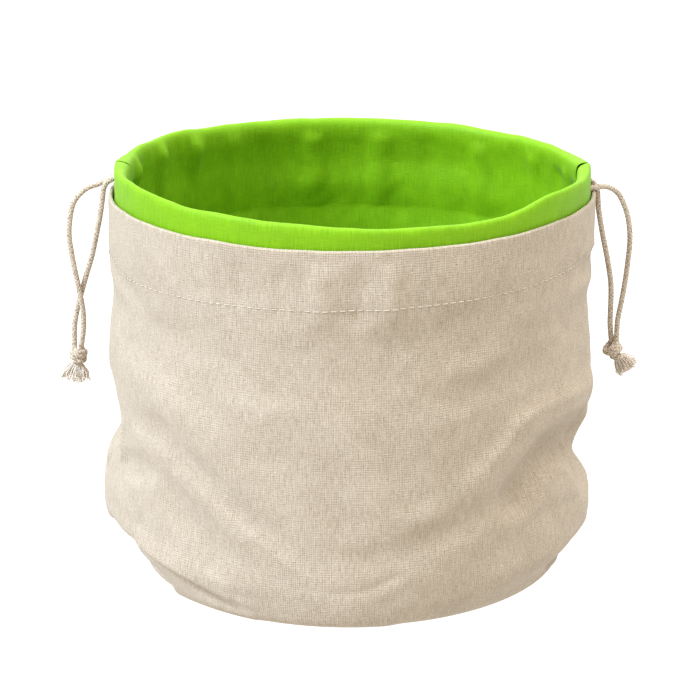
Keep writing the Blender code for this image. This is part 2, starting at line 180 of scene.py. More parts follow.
# Crisp creases, which give the folds their sharp crests and the sewn bottom its turned-up lip.
CREASES = table(
    "name half_width start end route",
    ("left ridge crest", 4.8, 0.4, 1.2,
     ((-58, 101), (-53, 101), (-47, 99), (-41, 88), (-32, 74), (-20, 54), (-9, 34))),
    ("left side crest", 6.0, 1.4, 1.6, ((-66, 104), (-67, 90), (-67, 74))),
    ("left side groove", 6.0, -2.4, -1.8, ((-74, 90), (-77, 78), (-81, 66), (-85, 52))),
    ("left lip crest", 5.0, 1.4, 1.4,
     ((-74, 34), (-66, 34), (-56, 32), (-49, 29), (-40, 24), (-27, 16), (-20, 12))),
    ("under left lip crease", 4.2, -3.4, -2.4,
     ((-84, 22), (-72, 25), (-59, 26), (-50, 23), (-41, 18), (-31, 11), (-24, 7))),
    ("bottom crease line", 4.0, -0.35, -0.5,
     ((-13, 31), (-8, 29), (-2, 27), (4, 29), (10, 36), (13, 39))),
    ("bottom crease lip", 6.0, 0.1, 0.4, ((-2, 21), (5, 23), (12, 33), (15, 40))),
    ("right side crest", 5.0, 1.6, 1.4, ((61, 89), (59, 81), (61, 73), (66, 60))),
    ("right side line", 5.5, -2.8, -2.0, ((67, 88), (65, 81), (67, 71), (72, 58))),
    ("right dark spot", 8.0, -0.8, -0.8, ((56, 56), (64, 53), (74, 49))),
    ("right ridge crest", 7.0, 1.2, 1.0,
     ((78, 119), (66, 122), (52, 124), (42, 121), (36, 107), (29, 92))),
    ("lower right crest", 6.0, 0.6, 0.4, ((62, 80), (55, 76), (46, 72), (35, 66))),
)
# The linen's edge and the collar's top, above their even heights, at some azimuths.
EDGE_RISE = (
    (-180, 0.3), (-120, 0.3), (-90, 0.0), (-75, 0.2), (-61, 0.8), (-46, 0.2), (-25, -0.4),
    (0, -0.6), (28, 0.0), (45, 0.8), (61, 1.4), (75, 0.7), (90, 0.3), (120, 0.3), (180, 0.3),
)
COLLAR_RISE = (
    (-180, -0.6), (-160, -0.3), (-146, 0.3), (-136, 1.0), (-126, 1.7), (-118, 1.0), (-111, 1.0),
    (-104, 0.6), (-98, 1.2), (-90, 3.0), (-84, 2.9), (-78, 3.2),
    (-70, 3.4), (-62, 3.6), (-54, 3.0), (-46, 1.8), (-34, 0.8), (-20, 0.2), (-10, -0.6),
    (0, -2.0), (8, -3.0), (20, -3.3), (34, -3.8), (41, -1.8), (50, 1.0), (60, 1.6), (72, 0.2),
    (82, 0.8), (90, 1.6), (96, -0.4), (103, -1.6), (111, -2.2), (119, -1.5), (127, -1.4),
    (134, -2.0), (146, -1.4), (158, -1.0), (180, -0.6),
)
HEM_DEPTH = 34.5                 # from the top edge down to the hem's stitch line
HEM_LEAN = 3.7                   # how much lower that line is at the left, and higher at the right
HEM_SHORT = 1.5                  # from that line up to the turned-in linen's end
HEM_STEP, HEM_STEP_WIDTH = 0.14, 3.0               # how far the doubled hem stands proud
STITCH_DIP, STITCH_DIP_WIDTH = 0.03, 1.6           # the dip along its stitches
STITCH_FROM, STITCH_PROUD = 2.5, 0.10              # from a side seam, and off the linen
STITCH_POINTS = 400                                # points along a half's stitch line
SEAM_DIP, SEAM_DIP_WIDTH = 0.5, 9.0                # the soft dip beside a side seam
SEAM_INSET, SEAM_INSET_WIDTH = 1.4, 6.0            # how far the lining stands in by a side seam
HEM_FACE, FLAP_FACE, WALL_FACE = 2.5, 3.0, 2.5     # visible faces, inset from the linen's face

# The lining's collar: up the inside of the mouth, over the top, and down behind the linen's hem.
# slit says where the outer side stops short of the side seams, pleat where the inside's pleats
# show, and split where the two halves part at a side seam.
COLLAR_TOP = 13.9
COLLAR = table(
    "height inset slit pleat split",
    (185.0, WALL_FACE, 0, 0.6, 0), (200.0, 5.3, 0, 0.9, 0), (216.0, 5.8, 0, 1, 0),
    (226.0, 7.2, 0, 1, 0), (233.0, 8.6, 0, 1, 0.4), (238.5, 9.1, 0, 0.9, 0.9),
    (242.4, 8.6, 0, 0.7, 1), (244.7, 7.1, 0, 0.5, 1), (245.5, 5.3, 0, 0.4, 1),
    (244.5, 3.8, 0.1, 0.3, 1), (241.6, 3.1, 0.9, 0.1, 0.6), (236.0, FLAP_FACE, 1, 0, 0),
    (TOP_EDGE, FLAP_FACE, 1, 0, 0), (226.8, FLAP_FACE, 0.6, 0, 0), (214.0, FLAP_FACE, 0, 0, 0),
    (200.0, FLAP_FACE, 0, 0, 0),
)
# By its two slits the collar is spread wider, from one side seam as far as reach.
COLLAR_SPREAD = table(
    "seam spread reach",
    (-90.0, 4.6, 24.0),
    (90.0, 3.0, 30.0),
)
SPREAD_INSETS, SPREAD_HEIGHTS = (4.0, 8.0), (222.0, 234.0)     # between which that sets in
# Pleats in the lining inside the mouth: pushed into the bag by push, or back where negative.
PLEATS = table(
    "azimuth low high half_width push",
    (-134, 205, 247, 9.0, 4.0), (-127, 205, 247, 6.0, -1.0), (-120, 160, 247, 7.0, 5.4),
    (-111, 175, 247, 7.0, -1.3), (-103, 170, 247, 7.0, 4.2), (-156, 130, 240, 12.0, -1.2),
    (-147, 150, 246, 9.0, 1.8), (-170, 140, 240, 12.0, 2.2), (112, 205, 236, 9.0, -2.2),
    (119, 215, 240, 8.0, -1.2), (130, 210, 244, 9.0, -1.0), (124, 150, 240, 8.0, 2.2),
    (105, 150, 240, 8.0, 2.0), (143, 140, 238, 11.0, 2.4), (158, 150, 240, 12.0, -1.2),
    (172, 130, 240, 12.0, 2.2), (-60, 130, 228, 11.0, -1.4), (-38, 140, 226, 12.0, 1.6),
    (-12, 130, 226, 13.0, -1.2), (18, 140, 228, 12.0, 1.6), (44, 130, 226, 11.0, -1.2),
    (68, 140, 228, 11.0, 1.5),
)
PLEAT_FOOT, PLEAT_HEAD = 30.0, 12.0       # over which a pleat grows above low and ends under high
WALL_PLEAT = 0.5                          # share of the pleats that the lining's wall has
SPLIT_SETBACK, SPLIT_REACH = 1.7, 8.0     # how far a half draws back where the collar splits
SPLIT_DIP, SPLIT_DIP_WIDTH = 0.5, 3.0     # how far its edge sinks there
# Each half panel runs from one side seam to the other. slit_start and slit_end are how far its
# collar's outer side stops from them, and proud_end how far its collar stands out at its end.
HALVES = table(
    "name start slit_start slit_end proud_end",
    ("front", -90.0, 5.5, 17.0, 0.9),
    ("back", 90.0, 7.5, 5.5, 0.0),
)
# A slit's drawing back dies away over this many of its widths, and a proud end over this length.
SLIT_REACH, PROUD_WIDTH = 3.0, 14.0

# The drawcords' places inside the casing: inset from the linen, and lift above its top edge.
# turn is the way round from the strand that enters the back half.
CASINGS = {
    "left": {"seam": -90.0, "turn": -1.0, "inset": 5.3, "lift": 6.0},
    "right": {"seam": 90.0, "turn": 1.0, "inset": 5.2, "lift": 2.6},
}
CASING_COLUMNS = 22              # points of a hidden run on each half of the bag
# How far the cords pull the collar's outer side and the casing in at the left slit, and the
# angle over which that dies away.
COLLAR_PULL, CASING_PULL, PULL_REACH = 1.6, 2.2, 16.0
# Each drawcord's free strands, from the slit down to the knot, and how long each is.
STRANDS = {
    "left": {
        "back": (
            (-140.2, 4.6, 239.0), (-142.6, 2.5, 238.5), (-145.5, 1.8, 237.3), (-149.0, 1.7, 235.5),
            (-154.0, 1.6, 233.4), (-161.1, 1.2, 230.7), (-168.0, 0.8, 223.8), (-171.0, 0.5, 215.2),
            (-172.4, 0.0, 202.7), (-171.3, -0.3, 190.9), (-169.8, -0.9, 181.4),
            (-167.8, -1.4, 170.5), (-166.3, -1.7, 161.5), (-165.2, -1.4, 151.9),
            (-165.5, -0.8, 142.1), (-167.2, -0.4, 131.0),
        ),
        "front": (
            (-140.2, -4.6, 239.0), (-142.6, -2.6, 238.4), (-145.4, -2.0, 237.0),
            (-148.2, -1.9, 235.0), (-150.0, -2.0, 231.8), (-150.8, -2.0, 227.0),
            (-152.3, -1.9, 217.2), (-155.4, -1.4, 202.7), (-158.7, 0.0, 189.0),
            (-162.9, 1.3, 175.7), (-166.2, 1.9, 164.7), (-168.8, 1.9, 155.7),
            (-171.1, 1.2, 144.1), (-171.6, 0.4, 131.0),
        ),
    },
    "right": {
        "back": (
            (142.2, 9.4, 234.4), (142.8, 6.9, 235.1), (144.0, 4.8, 235.6), (145.7, 3.2, 235.6),
            (147.6, 2.1, 234.9), (149.3, 1.5, 233.4), (150.6, 1.2, 231.2), (151.3, 1.0, 228.3),
            (151.6, 1.0, 223.8), (152.4, 1.0, 216.3), (155.3, 1.0, 201.3), (158.8, 1.0, 185.2),
            (161.2, 1.0, 170.8), (161.6, 1.0, 157.6), (161.6, 1.2, 145.1), (162.7, 1.5, 134.3),
        ),
        "front": (
            (142.1, -15.8, 234.2), (143.4, -13.0, 234.1), (145.6, -10.8, 234.0),
            (148.6, -9.0, 233.9), (152.2, -6.6, 233.8), (157.3, -2.6, 232.6), (163.2, 0.2, 228.5),
            (167.4, 0.8, 221.4), (170.6, 0.5, 211.4), (171.9, 0.0, 199.2), (171.1, -0.3, 185.2),
            (169.6, -0.6, 170.8), (167.6, -1.0, 157.6), (165.9, -1.4, 147.3), (165.6, -1.8, 134.3),
        ),
    },
}
KNOT_PLACES = {
    "left": {"centre": (-169.4, 0.0, 124.2), "axis": (-0.16, 0.05, -1.0)},
    "right": {"centre": (164.6, 0.0, 127.6), "axis": (0.72, 0.0, -0.9)},
}
TUFTS = {
    "left": {"Length": 12.5, "Spread": 0.85, "Seed": 20},
    "right": {"Length": 11.5, "Spread": 0.6, "Seed": 21},
}
YARN_STRAY, YARN_SHORTEST = 0.16, 0.72    # how far a yarn leans off, and the least length's share
YARN_TAPER = 0.45                         # share of its thickness that a yarn loses to its tip
YARN_NOISE = 260.0                        # waves to a metre in a frayed yarn


# ------------------------------------------------------------------ camera
LENS, SENSOR = 121.06, 36.0
CAMERA_PLACE = (0.0, -1400.0, 565.0)
CAMERA_TILT = 17.34              # how far it looks down, in degrees


def new_object(name, data):
    """An object in the scene, at the origin."""
    obj = bpy.data.objects.new(name, data)
    bpy.context.scene.collection.objects.link(obj)
    return obj


def camera():
    """A long lens in front of the bag, looking a little down into its mouth."""
    data = bpy.data.cameras.new("camera")
    data.lens, data.sensor_width = LENS, SENSOR
    obj = new_object("camera", data)
    obj.location = Vector(CAMERA_PLACE) * MM
    obj.rotation_euler = (math.radians(90.0 - CAMERA_TILT), 0.0, 0.0)
    bpy.context.scene.camera = obj


camera()


# ------------------------------------------------------------------ the cloth's surface
SWELL_ENDS, CREASE_ENDS = 0.35, 0.2          # share of a route that fades away at each end
LEG_STEPS = 6                                # straight steps in each leg of a fold's curved route
CREST_ROUND, CREST_SHIFT = 0.015, 0.12       # round a crisp crest a little, and keep its height
SLACK_FULL = 25.0                            # height where the cloth's slack is whole
HEM_CALM, HEM_HEIGHTS = 0.6, (200.0, 230.0)  # share of it that the stiff hem takes away, and where
EDGE_FROM = 185.0                            # height where the edge's own rise starts
NEAR_TURN, NEAR_STATION = 0.4, 0.08          # how far each way a slope is measured


def wrapped(degrees):
    """The same direction, as an angle from -180 to 180."""
    return (degrees + 180.0) % 360.0 - 180.0


def smooth(values, place):
    """The values at places between a list's items, on a curve that runs through all of them."""
    values, place = np.asarray(values, float), np.asarray(place, float)
    last = len(values) - 1
    first = np.clip(np.floor(place).astype(int), 0, last - 1)
    t = (place - first).reshape(place.shape + (1,) * (values.ndim - 1))
    before, here = values[np.maximum(first - 1, 0)], values[first]
    there, after = values[first + 1], values[np.minimum(first + 2, last)]
    return 0.5 * (
        2 * here
        + (there - before) * t
        + (2 * before - 5 * here + 4 * there - after) * t ** 2
        + (3 * here - before - 3 * there + after) * t ** 3
    )


def ramp(value, start, end):
    """0 up to start, 1 from end on, and a smooth step between. start may be the greater."""
    t = np.clip((value - start) / (end - start), 0.0, 1.0)
    return t * t * (3.0 - 2.0 * t)


def bell(away):
    """1 in the middle, and a smooth fall to 0 at 1 away on both sides."""
    return np.maximum(1.0 - away ** 2, 0.0) ** 2


def tail(distance, reach):
    """1 at no distance, and a curve down to 0 at reach."""
    return np.maximum(1.0 - distance / reach, 0.0) ** 2


def round_bag(pairs, azimuth):
    """A smooth value at an azimuth, from a table of (azimuth, value) that goes once round."""
    places, values = np.array(pairs, float).T
    return smooth(values, np.interp(wrapped(azimuth), places, np.arange(len(places))))


def push_of(folds, azimuth, height, crisp=False, end_share=None):
    """How far a table of folds together pushes the cloth out.

    Crisp ones have a sharp crest. end_share is the share of a route that fades away at each end.
    """
    azimuth, height = np.broadcast_arrays(azimuth, height)
    total = np.zeros(azimuth.shape)
    for fold in folds:
        corners = np.array(fold["route"], float)
        steps = LEG_STEPS * (len(corners) - 1)
        route = smooth(corners, np.linspace(0.0, len(corners) - 1.0, steps + 1))
        middle = route[:, 0].mean()
        route[:, 0] = (route[:, 0] - middle) * ARC
        place = np.stack([wrapped(azimuth - middle) * ARC, height], -1)
        reach = fold["half_width"]
        near = np.all((place > route.min(0) - reach) & (place < route.max(0) + reach), axis=-1)
        start, run = route[:-1], np.diff(route, axis=0)
        off = place[near][:, None] - start
        along = np.clip((off * run).sum(-1) / (run ** 2).sum(-1), 0.0, 1.0)
        away = np.linalg.norm(off - run * along[..., None], axis=-1)
        leg = away.argmin(1)
        rows = np.arange(len(leg))
        away = away[rows, leg] / reach
        share = (leg + along[rows, leg]) / steps
        push = fold["start"] + (fold["end"] - fold["start"]) * share
        if end_share:
            push *= ramp(share, 0.0, end_share) * ramp(share, 1.0, 1.0 - end_share)
        if crisp:
            push *= tail(np.sqrt(away ** 2 + CREST_ROUND) - CREST_SHIFT, 1.0)
        else:
            push *= bell(away)
        total[near] += push
    return total


def make_waves(seed, count, longest, shortest, size):
    """Gentle waves that meet themselves after one turn round the bag."""
    draw = np.random.default_rng(seed)
    waves = []
    for _ in range(count):
        length = math.exp(draw.uniform(math.log(shortest), math.log(longest)))
        lean = draw.uniform(0.0, math.pi)
        turns = round(2.0 * HALF_LENGTH / length * math.cos(lean))
        waves.append((turns, 360.0 / length * math.sin(lean), draw.uniform(0, 360), size))
    return waves


def wave_height(waves, azimuth, height):
    """The sum of the waves at a place."""
    return sum(
        size * np.cos(np.radians(turns * azimuth + rate * height + phase))
        for turns, rate, phase, size in waves
    )


# The cloth's slack between the folds, small unevenness from sewing and washing, and the
# unevenness of a turned edge.
SLACK = make_waves(seed=11, count=12, longest=130.0, shortest=45.0, size=0.16)
PUCKER = make_waves(seed=12, count=18, longest=34.0, shortest=11.0, size=0.035)
EDGE_WAVER = make_waves(seed=13, count=8, longest=70.0, shortest=20.0, size=0.07)


def section(station):
    """The mean radius and the height of the wall's section."""
    return sum(smooth(radii, station) for radii in RADII.values()) / 4, smooth(HEIGHTS, station)


STATION_STEPS = np.linspace(0.0, TOP, 4000)
STATION_HEIGHTS = section(STATION_STEPS)[1]


def station_at(height):
    """The station whose height this is."""
    return np.interp(height, STATION_HEIGHTS, STATION_STEPS)


def face(azimuth, station):
    """The linen's outer face, with its folds."""
    height = smooth(HEIGHTS, station)
    ahead, aside = np.cos(np.radians(azimuth)), np.sin(np.radians(azimuth))
    towards = {"front": ahead, "right": aside, "back": -ahead, "left": -aside}
    radius = sum(
        smooth(RADII[side], station) * np.maximum(share, 0.0) ** 2
        for side, share in towards.items()
    )
    radius = radius + push_of(FOLDS, azimuth, height)
    radius += push_of(SWELLS, azimuth, height, end_share=SWELL_ENDS)
    radius += push_of(CREASES, azimuth, height, crisp=True, end_share=CREASE_ENDS)
    settled = ramp(height, 0.0, SLACK_FULL) * (1.0 - HEM_CALM * ramp(height, *HEM_HEIGHTS))
    radius += settled * (
        wave_height(SLACK, azimuth, height) + wave_height(PUCKER, azimuth, height)
    )
    rise = round_bag(EDGE_RISE, azimuth) + wave_height(EDGE_WAVER, azimuth, height=0.0)
    height = height + rise * ramp(height, EDGE_FROM, TOP_EDGE)
    return np.stack([radius * aside, -radius * ahead, height + 0.0 * radius], -1)


def inward(azimuth, station):
    """The way straight into the bag from its face."""
    above, below = np.minimum(station + NEAR_STATION, TOP), np.maximum(station - NEAR_STATION, 0.0)
    across = face(azimuth + NEAR_TURN, station) - face(azimuth - NEAR_TURN, station)
    way = np.cross(face(azimuth, above) - face(azimuth, below), across)
    return way / np.linalg.norm(way, axis=-1, keepdims=True)


def sunk(azimuth, station, inset):
    """Points inside the linen's face by inset, or outside it where that is negative."""
    azimuth, station, inset = np.broadcast_arrays(azimuth, station, inset)
    return face(azimuth, station) + inward(azimuth, station) * inset[..., None]


def stitch_height(azimuth):
    """Where the hem is sewn: a little lower to the left and higher to the right."""
    return TOP_EDGE - HEM_DEPTH + HEM_LEAN * np.sin(np.radians(azimuth))


def hem_relief(azimuth, height):
    """The doubled hem's step, and the dip where its stitches pull the layers together."""
    above = height - stitch_height(azimuth)
    step = HEM_STEP * ramp(above, -HEM_STEP_WIDTH / 2, HEM_STEP_WIDTH / 2)
    return step - STITCH_DIP * np.exp(-((above / STITCH_DIP_WIDTH) ** 2))


def seam_turn(from_seam, depth, width):
    """How far a panel's side edge turns in at the seam, with the soft dip beside it."""
    from_seam = np.maximum(from_seam, 0.0)
    t = np.maximum(1.0 - from_seam / width, 0.0)
    return depth * (1.0 - np.sqrt(1.0 - t ** 2)) + SEAM_DIP * tail(from_seam, SEAM_DIP_WIDTH)


def pulled_in(azimuth):
    """1 at the left slit, where the cords pull the collar's outer side in, and 0 away from it."""
    return ramp(np.abs(wrapped(azimuth - CASINGS["left"]["seam"])), PULL_REACH, 0.0)


# ------------------------------------------------------------------ meshes
# Columns of a half panel, as lengths from its side seam: these by the seam, and even ones from
# EVEN_FROM on.
SEAM_COLUMNS = np.array([-0.05, 0.3, 0.7, 1.1, 1.6, 2.3, 3.3, 4.6])
EVEN_FROM = 6.2
# Points along each part of a section, before it is divided into even rows.
WALL_POINTS, ROLL_POINTS, HEM_POINTS, COLLAR_POINTS = 1500, 40, 60, 1200
BACK_SHIFT, BASE_SHIFT = 600.0, 1300.0       # keep each piece on a stretch of cloth of its own
BASE_RINGS, BASE_SPOKES = 60, 220
BASE_SWELL, BASE_SWELL_WIDTH = 0.5, 12.0     # how far a base stands up inside its seam
BASE_SLACK, BASE_SLACK_RATE = 0.12, 6.0      # its share of the slack, and how much closer that is


def finish_mesh(name, vertices, faces, uvs, material, thickness=None):
    """A smooth piece from points in table millimetres, with its cloth coordinates in metres.

    A sheet's thickness goes on the side away from its visible face.
    """
    mesh = bpy.data.meshes.new(name)
    mesh.from_pydata((vertices * MM).tolist(), [], faces)
    layer = mesh.uv_layers.new(name="cloth")
    corner = np.zeros(len(mesh.loops), int)
    mesh.loops.foreach_get("vertex_index", corner)
    layer.data.foreach_set("uv", (uvs[corner] * MM).ravel())
    mesh.materials.append(material)
    mesh.shade_smooth()
    obj = new_object(name, mesh)
    if thickness:
        solid = obj.modifiers.new("thickness of the cloth", "SOLIDIFY")
        solid.thickness = thickness * MM
        solid.offset = -1.0
    return obj


def grid_faces(rows, columns, flipped=False):
    """The faces of a sheet of rows by columns of points."""
    index = np.arange(rows * columns).reshape(rows, columns)
    quads = np.stack(
        [index[:-1, :-1], index[:-1, 1:], index[1:, 1:], index[1:, :-1]], -1
    ).reshape(-1, 4)
    return (quads[:, ::-1] if flipped else quads).tolist()


def ring_faces(index):
    """The faces between rings of points, whose numbers are index's rows."""
    after = np.roll(index, -1, axis=1)
    return np.stack([index[:-1], after[:-1], after[1:], index[1:]], -1).reshape(-1, 4).tolist()


def cap_faces(ring, tip, flipped=False):
    """The faces that close a ring of points with a fan about its tip."""
    after = np.roll(ring, -1)
    first, second = (after, ring) if flipped else (ring, after)
    return np.stack([first, second, np.full_like(ring, tip)], -1).tolist()


def running(points):
    """The length run at each of a line's points."""
    return np.concatenate([[0.0], np.cumsum(np.linalg.norm(np.diff(points, axis=0), axis=1))])


def even_places(length, step):
    """Places at even steps along a length."""
    return np.linspace(0.0, length, max(2, round(length / step) + 1))


def side_columns(step):
    """The columns of a half panel, as lengths from its first side seam, close together by both."""
    even = np.linspace(
        EVEN_FROM, HALF_LENGTH - EVEN_FROM, round((HALF_LENGTH - 2 * EVEN_FROM) / step)
    )
    return np.concatenate([SEAM_COLUMNS, even, HALF_LENGTH - SEAM_COLUMNS[::-1]])[None, :]


def even_rows(step, **columns):
    """Rows at even lengths along a section, from dense columns of station, lift, inset and more."""
    radius, height = section(columns["station"])
    length = running(np.stack([radius - columns["inset"], height + columns["lift"]], -1))
    places = even_places(length[-1], step)
    rows = {name: np.interp(places, length, values) for name, values in columns.items()}
    return {**rows, "length": places}


def joined_rows(*parts):
    """One table of rows out of several that follow each other, with each column upright."""
    start, kept = 0.0, []
    for number, part in enumerate(parts):
        skip = 1 if number else 0
        kept.append({name: values[skip:, None] for name, values in part.items()})
        kept[-1]["length"] = kept[-1]["length"] + start
        start += part["length"][-1]
    return {name: np.concatenate([part[name] for part in kept]) for name in kept[0]}


def shell_rows():
    """The linen's rows: up the wall, over the rolled edge, and down inside to the stitch line."""
    roll = HEM_FACE / 2
    wall = np.linspace(0.0, station_at(TOP_EDGE - roll), WALL_POINTS)
    turn = np.linspace(0.0, math.pi, ROLL_POINTS)
    top = station_at(TOP_EDGE - roll + roll * np.sin(turn))
    inside = np.linspace(
        station_at(TOP_EDGE - roll), station_at(TOP_EDGE - HEM_DEPTH + HEM_SHORT), HEM_POINTS
    )
    return joined_rows(
        even_rows(WALL_STEP, station=wall, lift=0 * wall, inset=0 * wall),
        even_rows(ROLL_STEP, station=top, lift=0 * top, inset=roll * (1 - np.cos(turn))),
        even_rows(WALL_STEP, station=inside, lift=0 * inside, inset=0 * inside + HEM_FACE),
    )


def lining_rows():
    """The lining's rows: up the wall and inside the mouth, over the collar, and down its flap."""
    wall = np.linspace(0.0, station_at(COLLAR[0]["height"]), WALL_POINTS)
    nothing = 0 * wall
    place = np.linspace(0.0, len(COLLAR) - 1.0, COLLAR_POINTS)
    collar = {name: smooth([row[name] for row in COLLAR], place) for name in COLLAR[0]}
    height = collar.pop("height")
    return joined_rows(
        even_rows(
            LINING_STEP, station=wall, lift=nothing, inset=nothing + WALL_FACE,
            slit=nothing, pleat=nothing + WALL_PLEAT, split=nothing,
        ),
        even_rows(
            COLLAR_STEP, station=station_at(np.minimum(height, TOP_EDGE)),
            lift=np.maximum(height - TOP_EDGE, 0.0), **collar,
        ),
    )


def panel_piece(cloth, half, points, along, length, material, thickness, flipped=False):
    """A half panel's piece, from a grid of points and their places along and up the cloth."""
    shifted = along + BACK_SHIFT * (half["name"] == "back")
    return finish_mesh(
        f"{cloth}_{half['name']}_panel", points.reshape(-1, 3),
        grid_faces(*points.shape[:2], flipped),
        np.stack(np.broadcast_arrays(shifted, length), -1).reshape(-1, 2), material, thickness,
    )


def shell_panel(half, material):
    """One half of the linen wall, with its hem."""
    rows, along = shell_rows(), side_columns(SHELL_STEP)
    azimuth = half["start"] + along / ARC
    from_seam = np.minimum(along, HALF_LENGTH - along)
    relief = np.where(
        rows["inset"] < HEM_FACE / 2, hem_relief(azimuth, smooth(HEIGHTS, rows["station"])),
        HEM_STEP / 2,
    )
    inset = rows["inset"] + seam_turn(from_seam, depth=1.1, width=1.8) - relief
    points = sunk(azimuth, rows["station"], inset)
    return panel_piece("linen", half, points, along, rows["length"], material, LINEN_THICKNESS)


def lining_panel(half, material):
    """One half of the cotton lining, with its collar."""
    rows, columns = lining_rows(), side_columns(LINING_STEP)

    def drawn_back(slit, measured):
        """How far the collar draws back from a side seam, at its slit and where it splits."""
        wide = half[slit] * rows["slit"] * tail(measured, SLIT_REACH * half[slit])
        return wide + SPLIT_SETBACK * rows["split"] * tail(measured, SPLIT_REACH)

    along = columns + drawn_back("slit_start", columns)
    along = along - drawn_back("slit_end", HALF_LENGTH - columns)
    azimuth = half["start"] + along / ARC
    from_seam = np.maximum(np.minimum(along, HALF_LENGTH - along), 0.0)
    height = smooth(HEIGHTS, rows["station"]) + rows["lift"]
    by_seam = ramp(from_seam, SEAM_INSET_WIDTH, 0.0) * (rows["lift"] <= 0)
    inset = rows["inset"] + SEAM_INSET * by_seam
    inset = inset - seam_turn(from_seam, depth=0.7, width=1.5) * (1 - rows["slit"])
    for pleat in PLEATS:
        low, high = pleat["low"], pleat["high"]
        reach = ramp(height, low, low + PLEAT_FOOT) * ramp(height, high, high - PLEAT_HEAD)
        away = wrapped(azimuth - pleat["azimuth"]) * ARC / pleat["half_width"]
        inset = inset + rows["pleat"] * pleat["push"] * reach * bell(away)
    end = ramp(HALF_LENGTH - along, PROUD_WIDTH, 0.0)
    inset = inset - half["proud_end"] * end * rows["split"]
    for place in COLLAR_SPREAD:
        near = ramp(np.abs(wrapped(azimuth - place["seam"])), place["reach"], 0.0)
        near = near * ramp(inset, *SPREAD_INSETS) * ramp(height, *SPREAD_HEIGHTS)
        inset = inset + place["spread"] * near
    inset = inset + COLLAR_PULL * pulled_in(azimuth) * rows["slit"]
    rise = round_bag(COLLAR_RISE, azimuth) + wave_height(EDGE_WAVER, azimuth, height=40.0)
    points = sunk(azimuth, rows["station"], inset)
    points[..., 2] += rows["lift"] + rise * rows["lift"] / COLLAR_TOP
    points[..., 2] -= SPLIT_DIP * rows["split"] * tail(from_seam, SPLIT_DIP_WIDTH)
    return panel_piece(
        "lining", half, points, along, rows["length"], material, COTTON_THICKNESS, flipped=True
    )


def base_disc(name, top, trim, thickness, material):
    """A round of cloth that closes the bottom. Its edge turns up into the seam."""
    azimuth = np.arange(BASE_SPOKES) * 360.0 / BASE_SPOKES
    reach = np.linalg.norm(face(azimuth, 0.0 * azimuth)[:, :2], axis=1) - trim
    share = np.linspace(1.0, 0.0, BASE_RINGS, endpoint=False)[:, None]
    from_edge = (1.0 - share) * reach
    swell = BASE_SWELL + BASE_SLACK * wave_height(SLACK, azimuth, BASE_SLACK_RATE * from_edge)
    height = top + swell * ramp(from_edge, 0.0, BASE_SWELL_WIDTH)
    height += seam_turn(from_edge, depth=0.4, width=2.0)
    ahead, aside = np.cos(np.radians(azimuth)), np.sin(np.radians(azimuth))
    points = np.stack([share * reach * aside, -share * reach * ahead, height], -1).reshape(-1, 3)
    points = np.concatenate([points, [[0.0, 0.0, height[-1].mean()]]])
    index = np.arange(height.size).reshape(height.shape)
    faces = ring_faces(index) + cap_faces(index[-1], height.size)
    return finish_mesh(name, points, faces, points[:, :2] + BASE_SHIFT, material, thickness)


# ------------------------------------------------------------------ cords and knots
BRAID_ENDS = 4                   # yarns of the braid that lean each way
BRAID_PITCH = 2.1                # length of one crossing along the cord
BRAID_RELIEF = 0.36              # how far a yarn stands above the gaps
BRAID_MEAN = 0.35                # share of the relief that is at the cord's own radius
YARN_DIP = 0.45                  # share of it that a yarn loses where it goes under
CORD_GIRTH = 9.4                 # the cord's cloth coordinate, once round
FIRST_WAY = (0.31, 0.88, 0.35)   # any way that no cord starts along
# Between a cord's rings and round each of them, where it shows and where it doesn't.
STRAND_STEP, STRAND_SIDES = 0.32, 32
HIDDEN_STEP, HIDDEN_SIDES = 1.4, 16
KNOT_STEP, KNOT_SIDES = 0.34, 28
ROUTE_POINTS, KNOT_POINTS = 60, 40           # for each listed point, before they are even
PATH_STRIDE = 4                              # rings from one point of a declared path to the next


def even_path(points, step):
    """A path's points at even lengths."""
    points = np.asarray(points, float)
    length = running(points)
    places = even_places(length[-1], step)
    return np.stack([np.interp(places, length, points[:, axis]) for axis in range(3)], -1)


def path_frames(path):
    """Two ways across a path at each of its points, which turn as little as they can."""
    tangents = np.gradient(path, axis=0)
    tangents /= np.linalg.norm(tangents, axis=1, keepdims=True)
    side = np.cross(tangents[0], FIRST_WAY)
    sides = []
    for tangent in tangents:
        side = side - tangent * side.dot(tangent)
        side /= np.linalg.norm(side)
        sides.append(side)
    sides = np.array(sides)
    return sides, np.cross(tangents, sides)


def braid_relief(around, along):
    """The height of a braid's yarns: in each diamond one yarn passes over the other."""
    one = BRAID_ENDS * around + along / BRAID_PITCH
    other = BRAID_ENDS * around - along / BRAID_PITCH
    first, second = one % 1.0, other % 1.0
    over = (np.floor(one) + np.floor(other)) % 2 == 0
    across, lengthways = np.where(over, first, second), np.where(over, second, first)
    dip = (1.0 - YARN_DIP) + YARN_DIP * np.sin(math.pi * lengthways)
    return np.sqrt(4 * across * (1 - across) + 1e-9) * dip


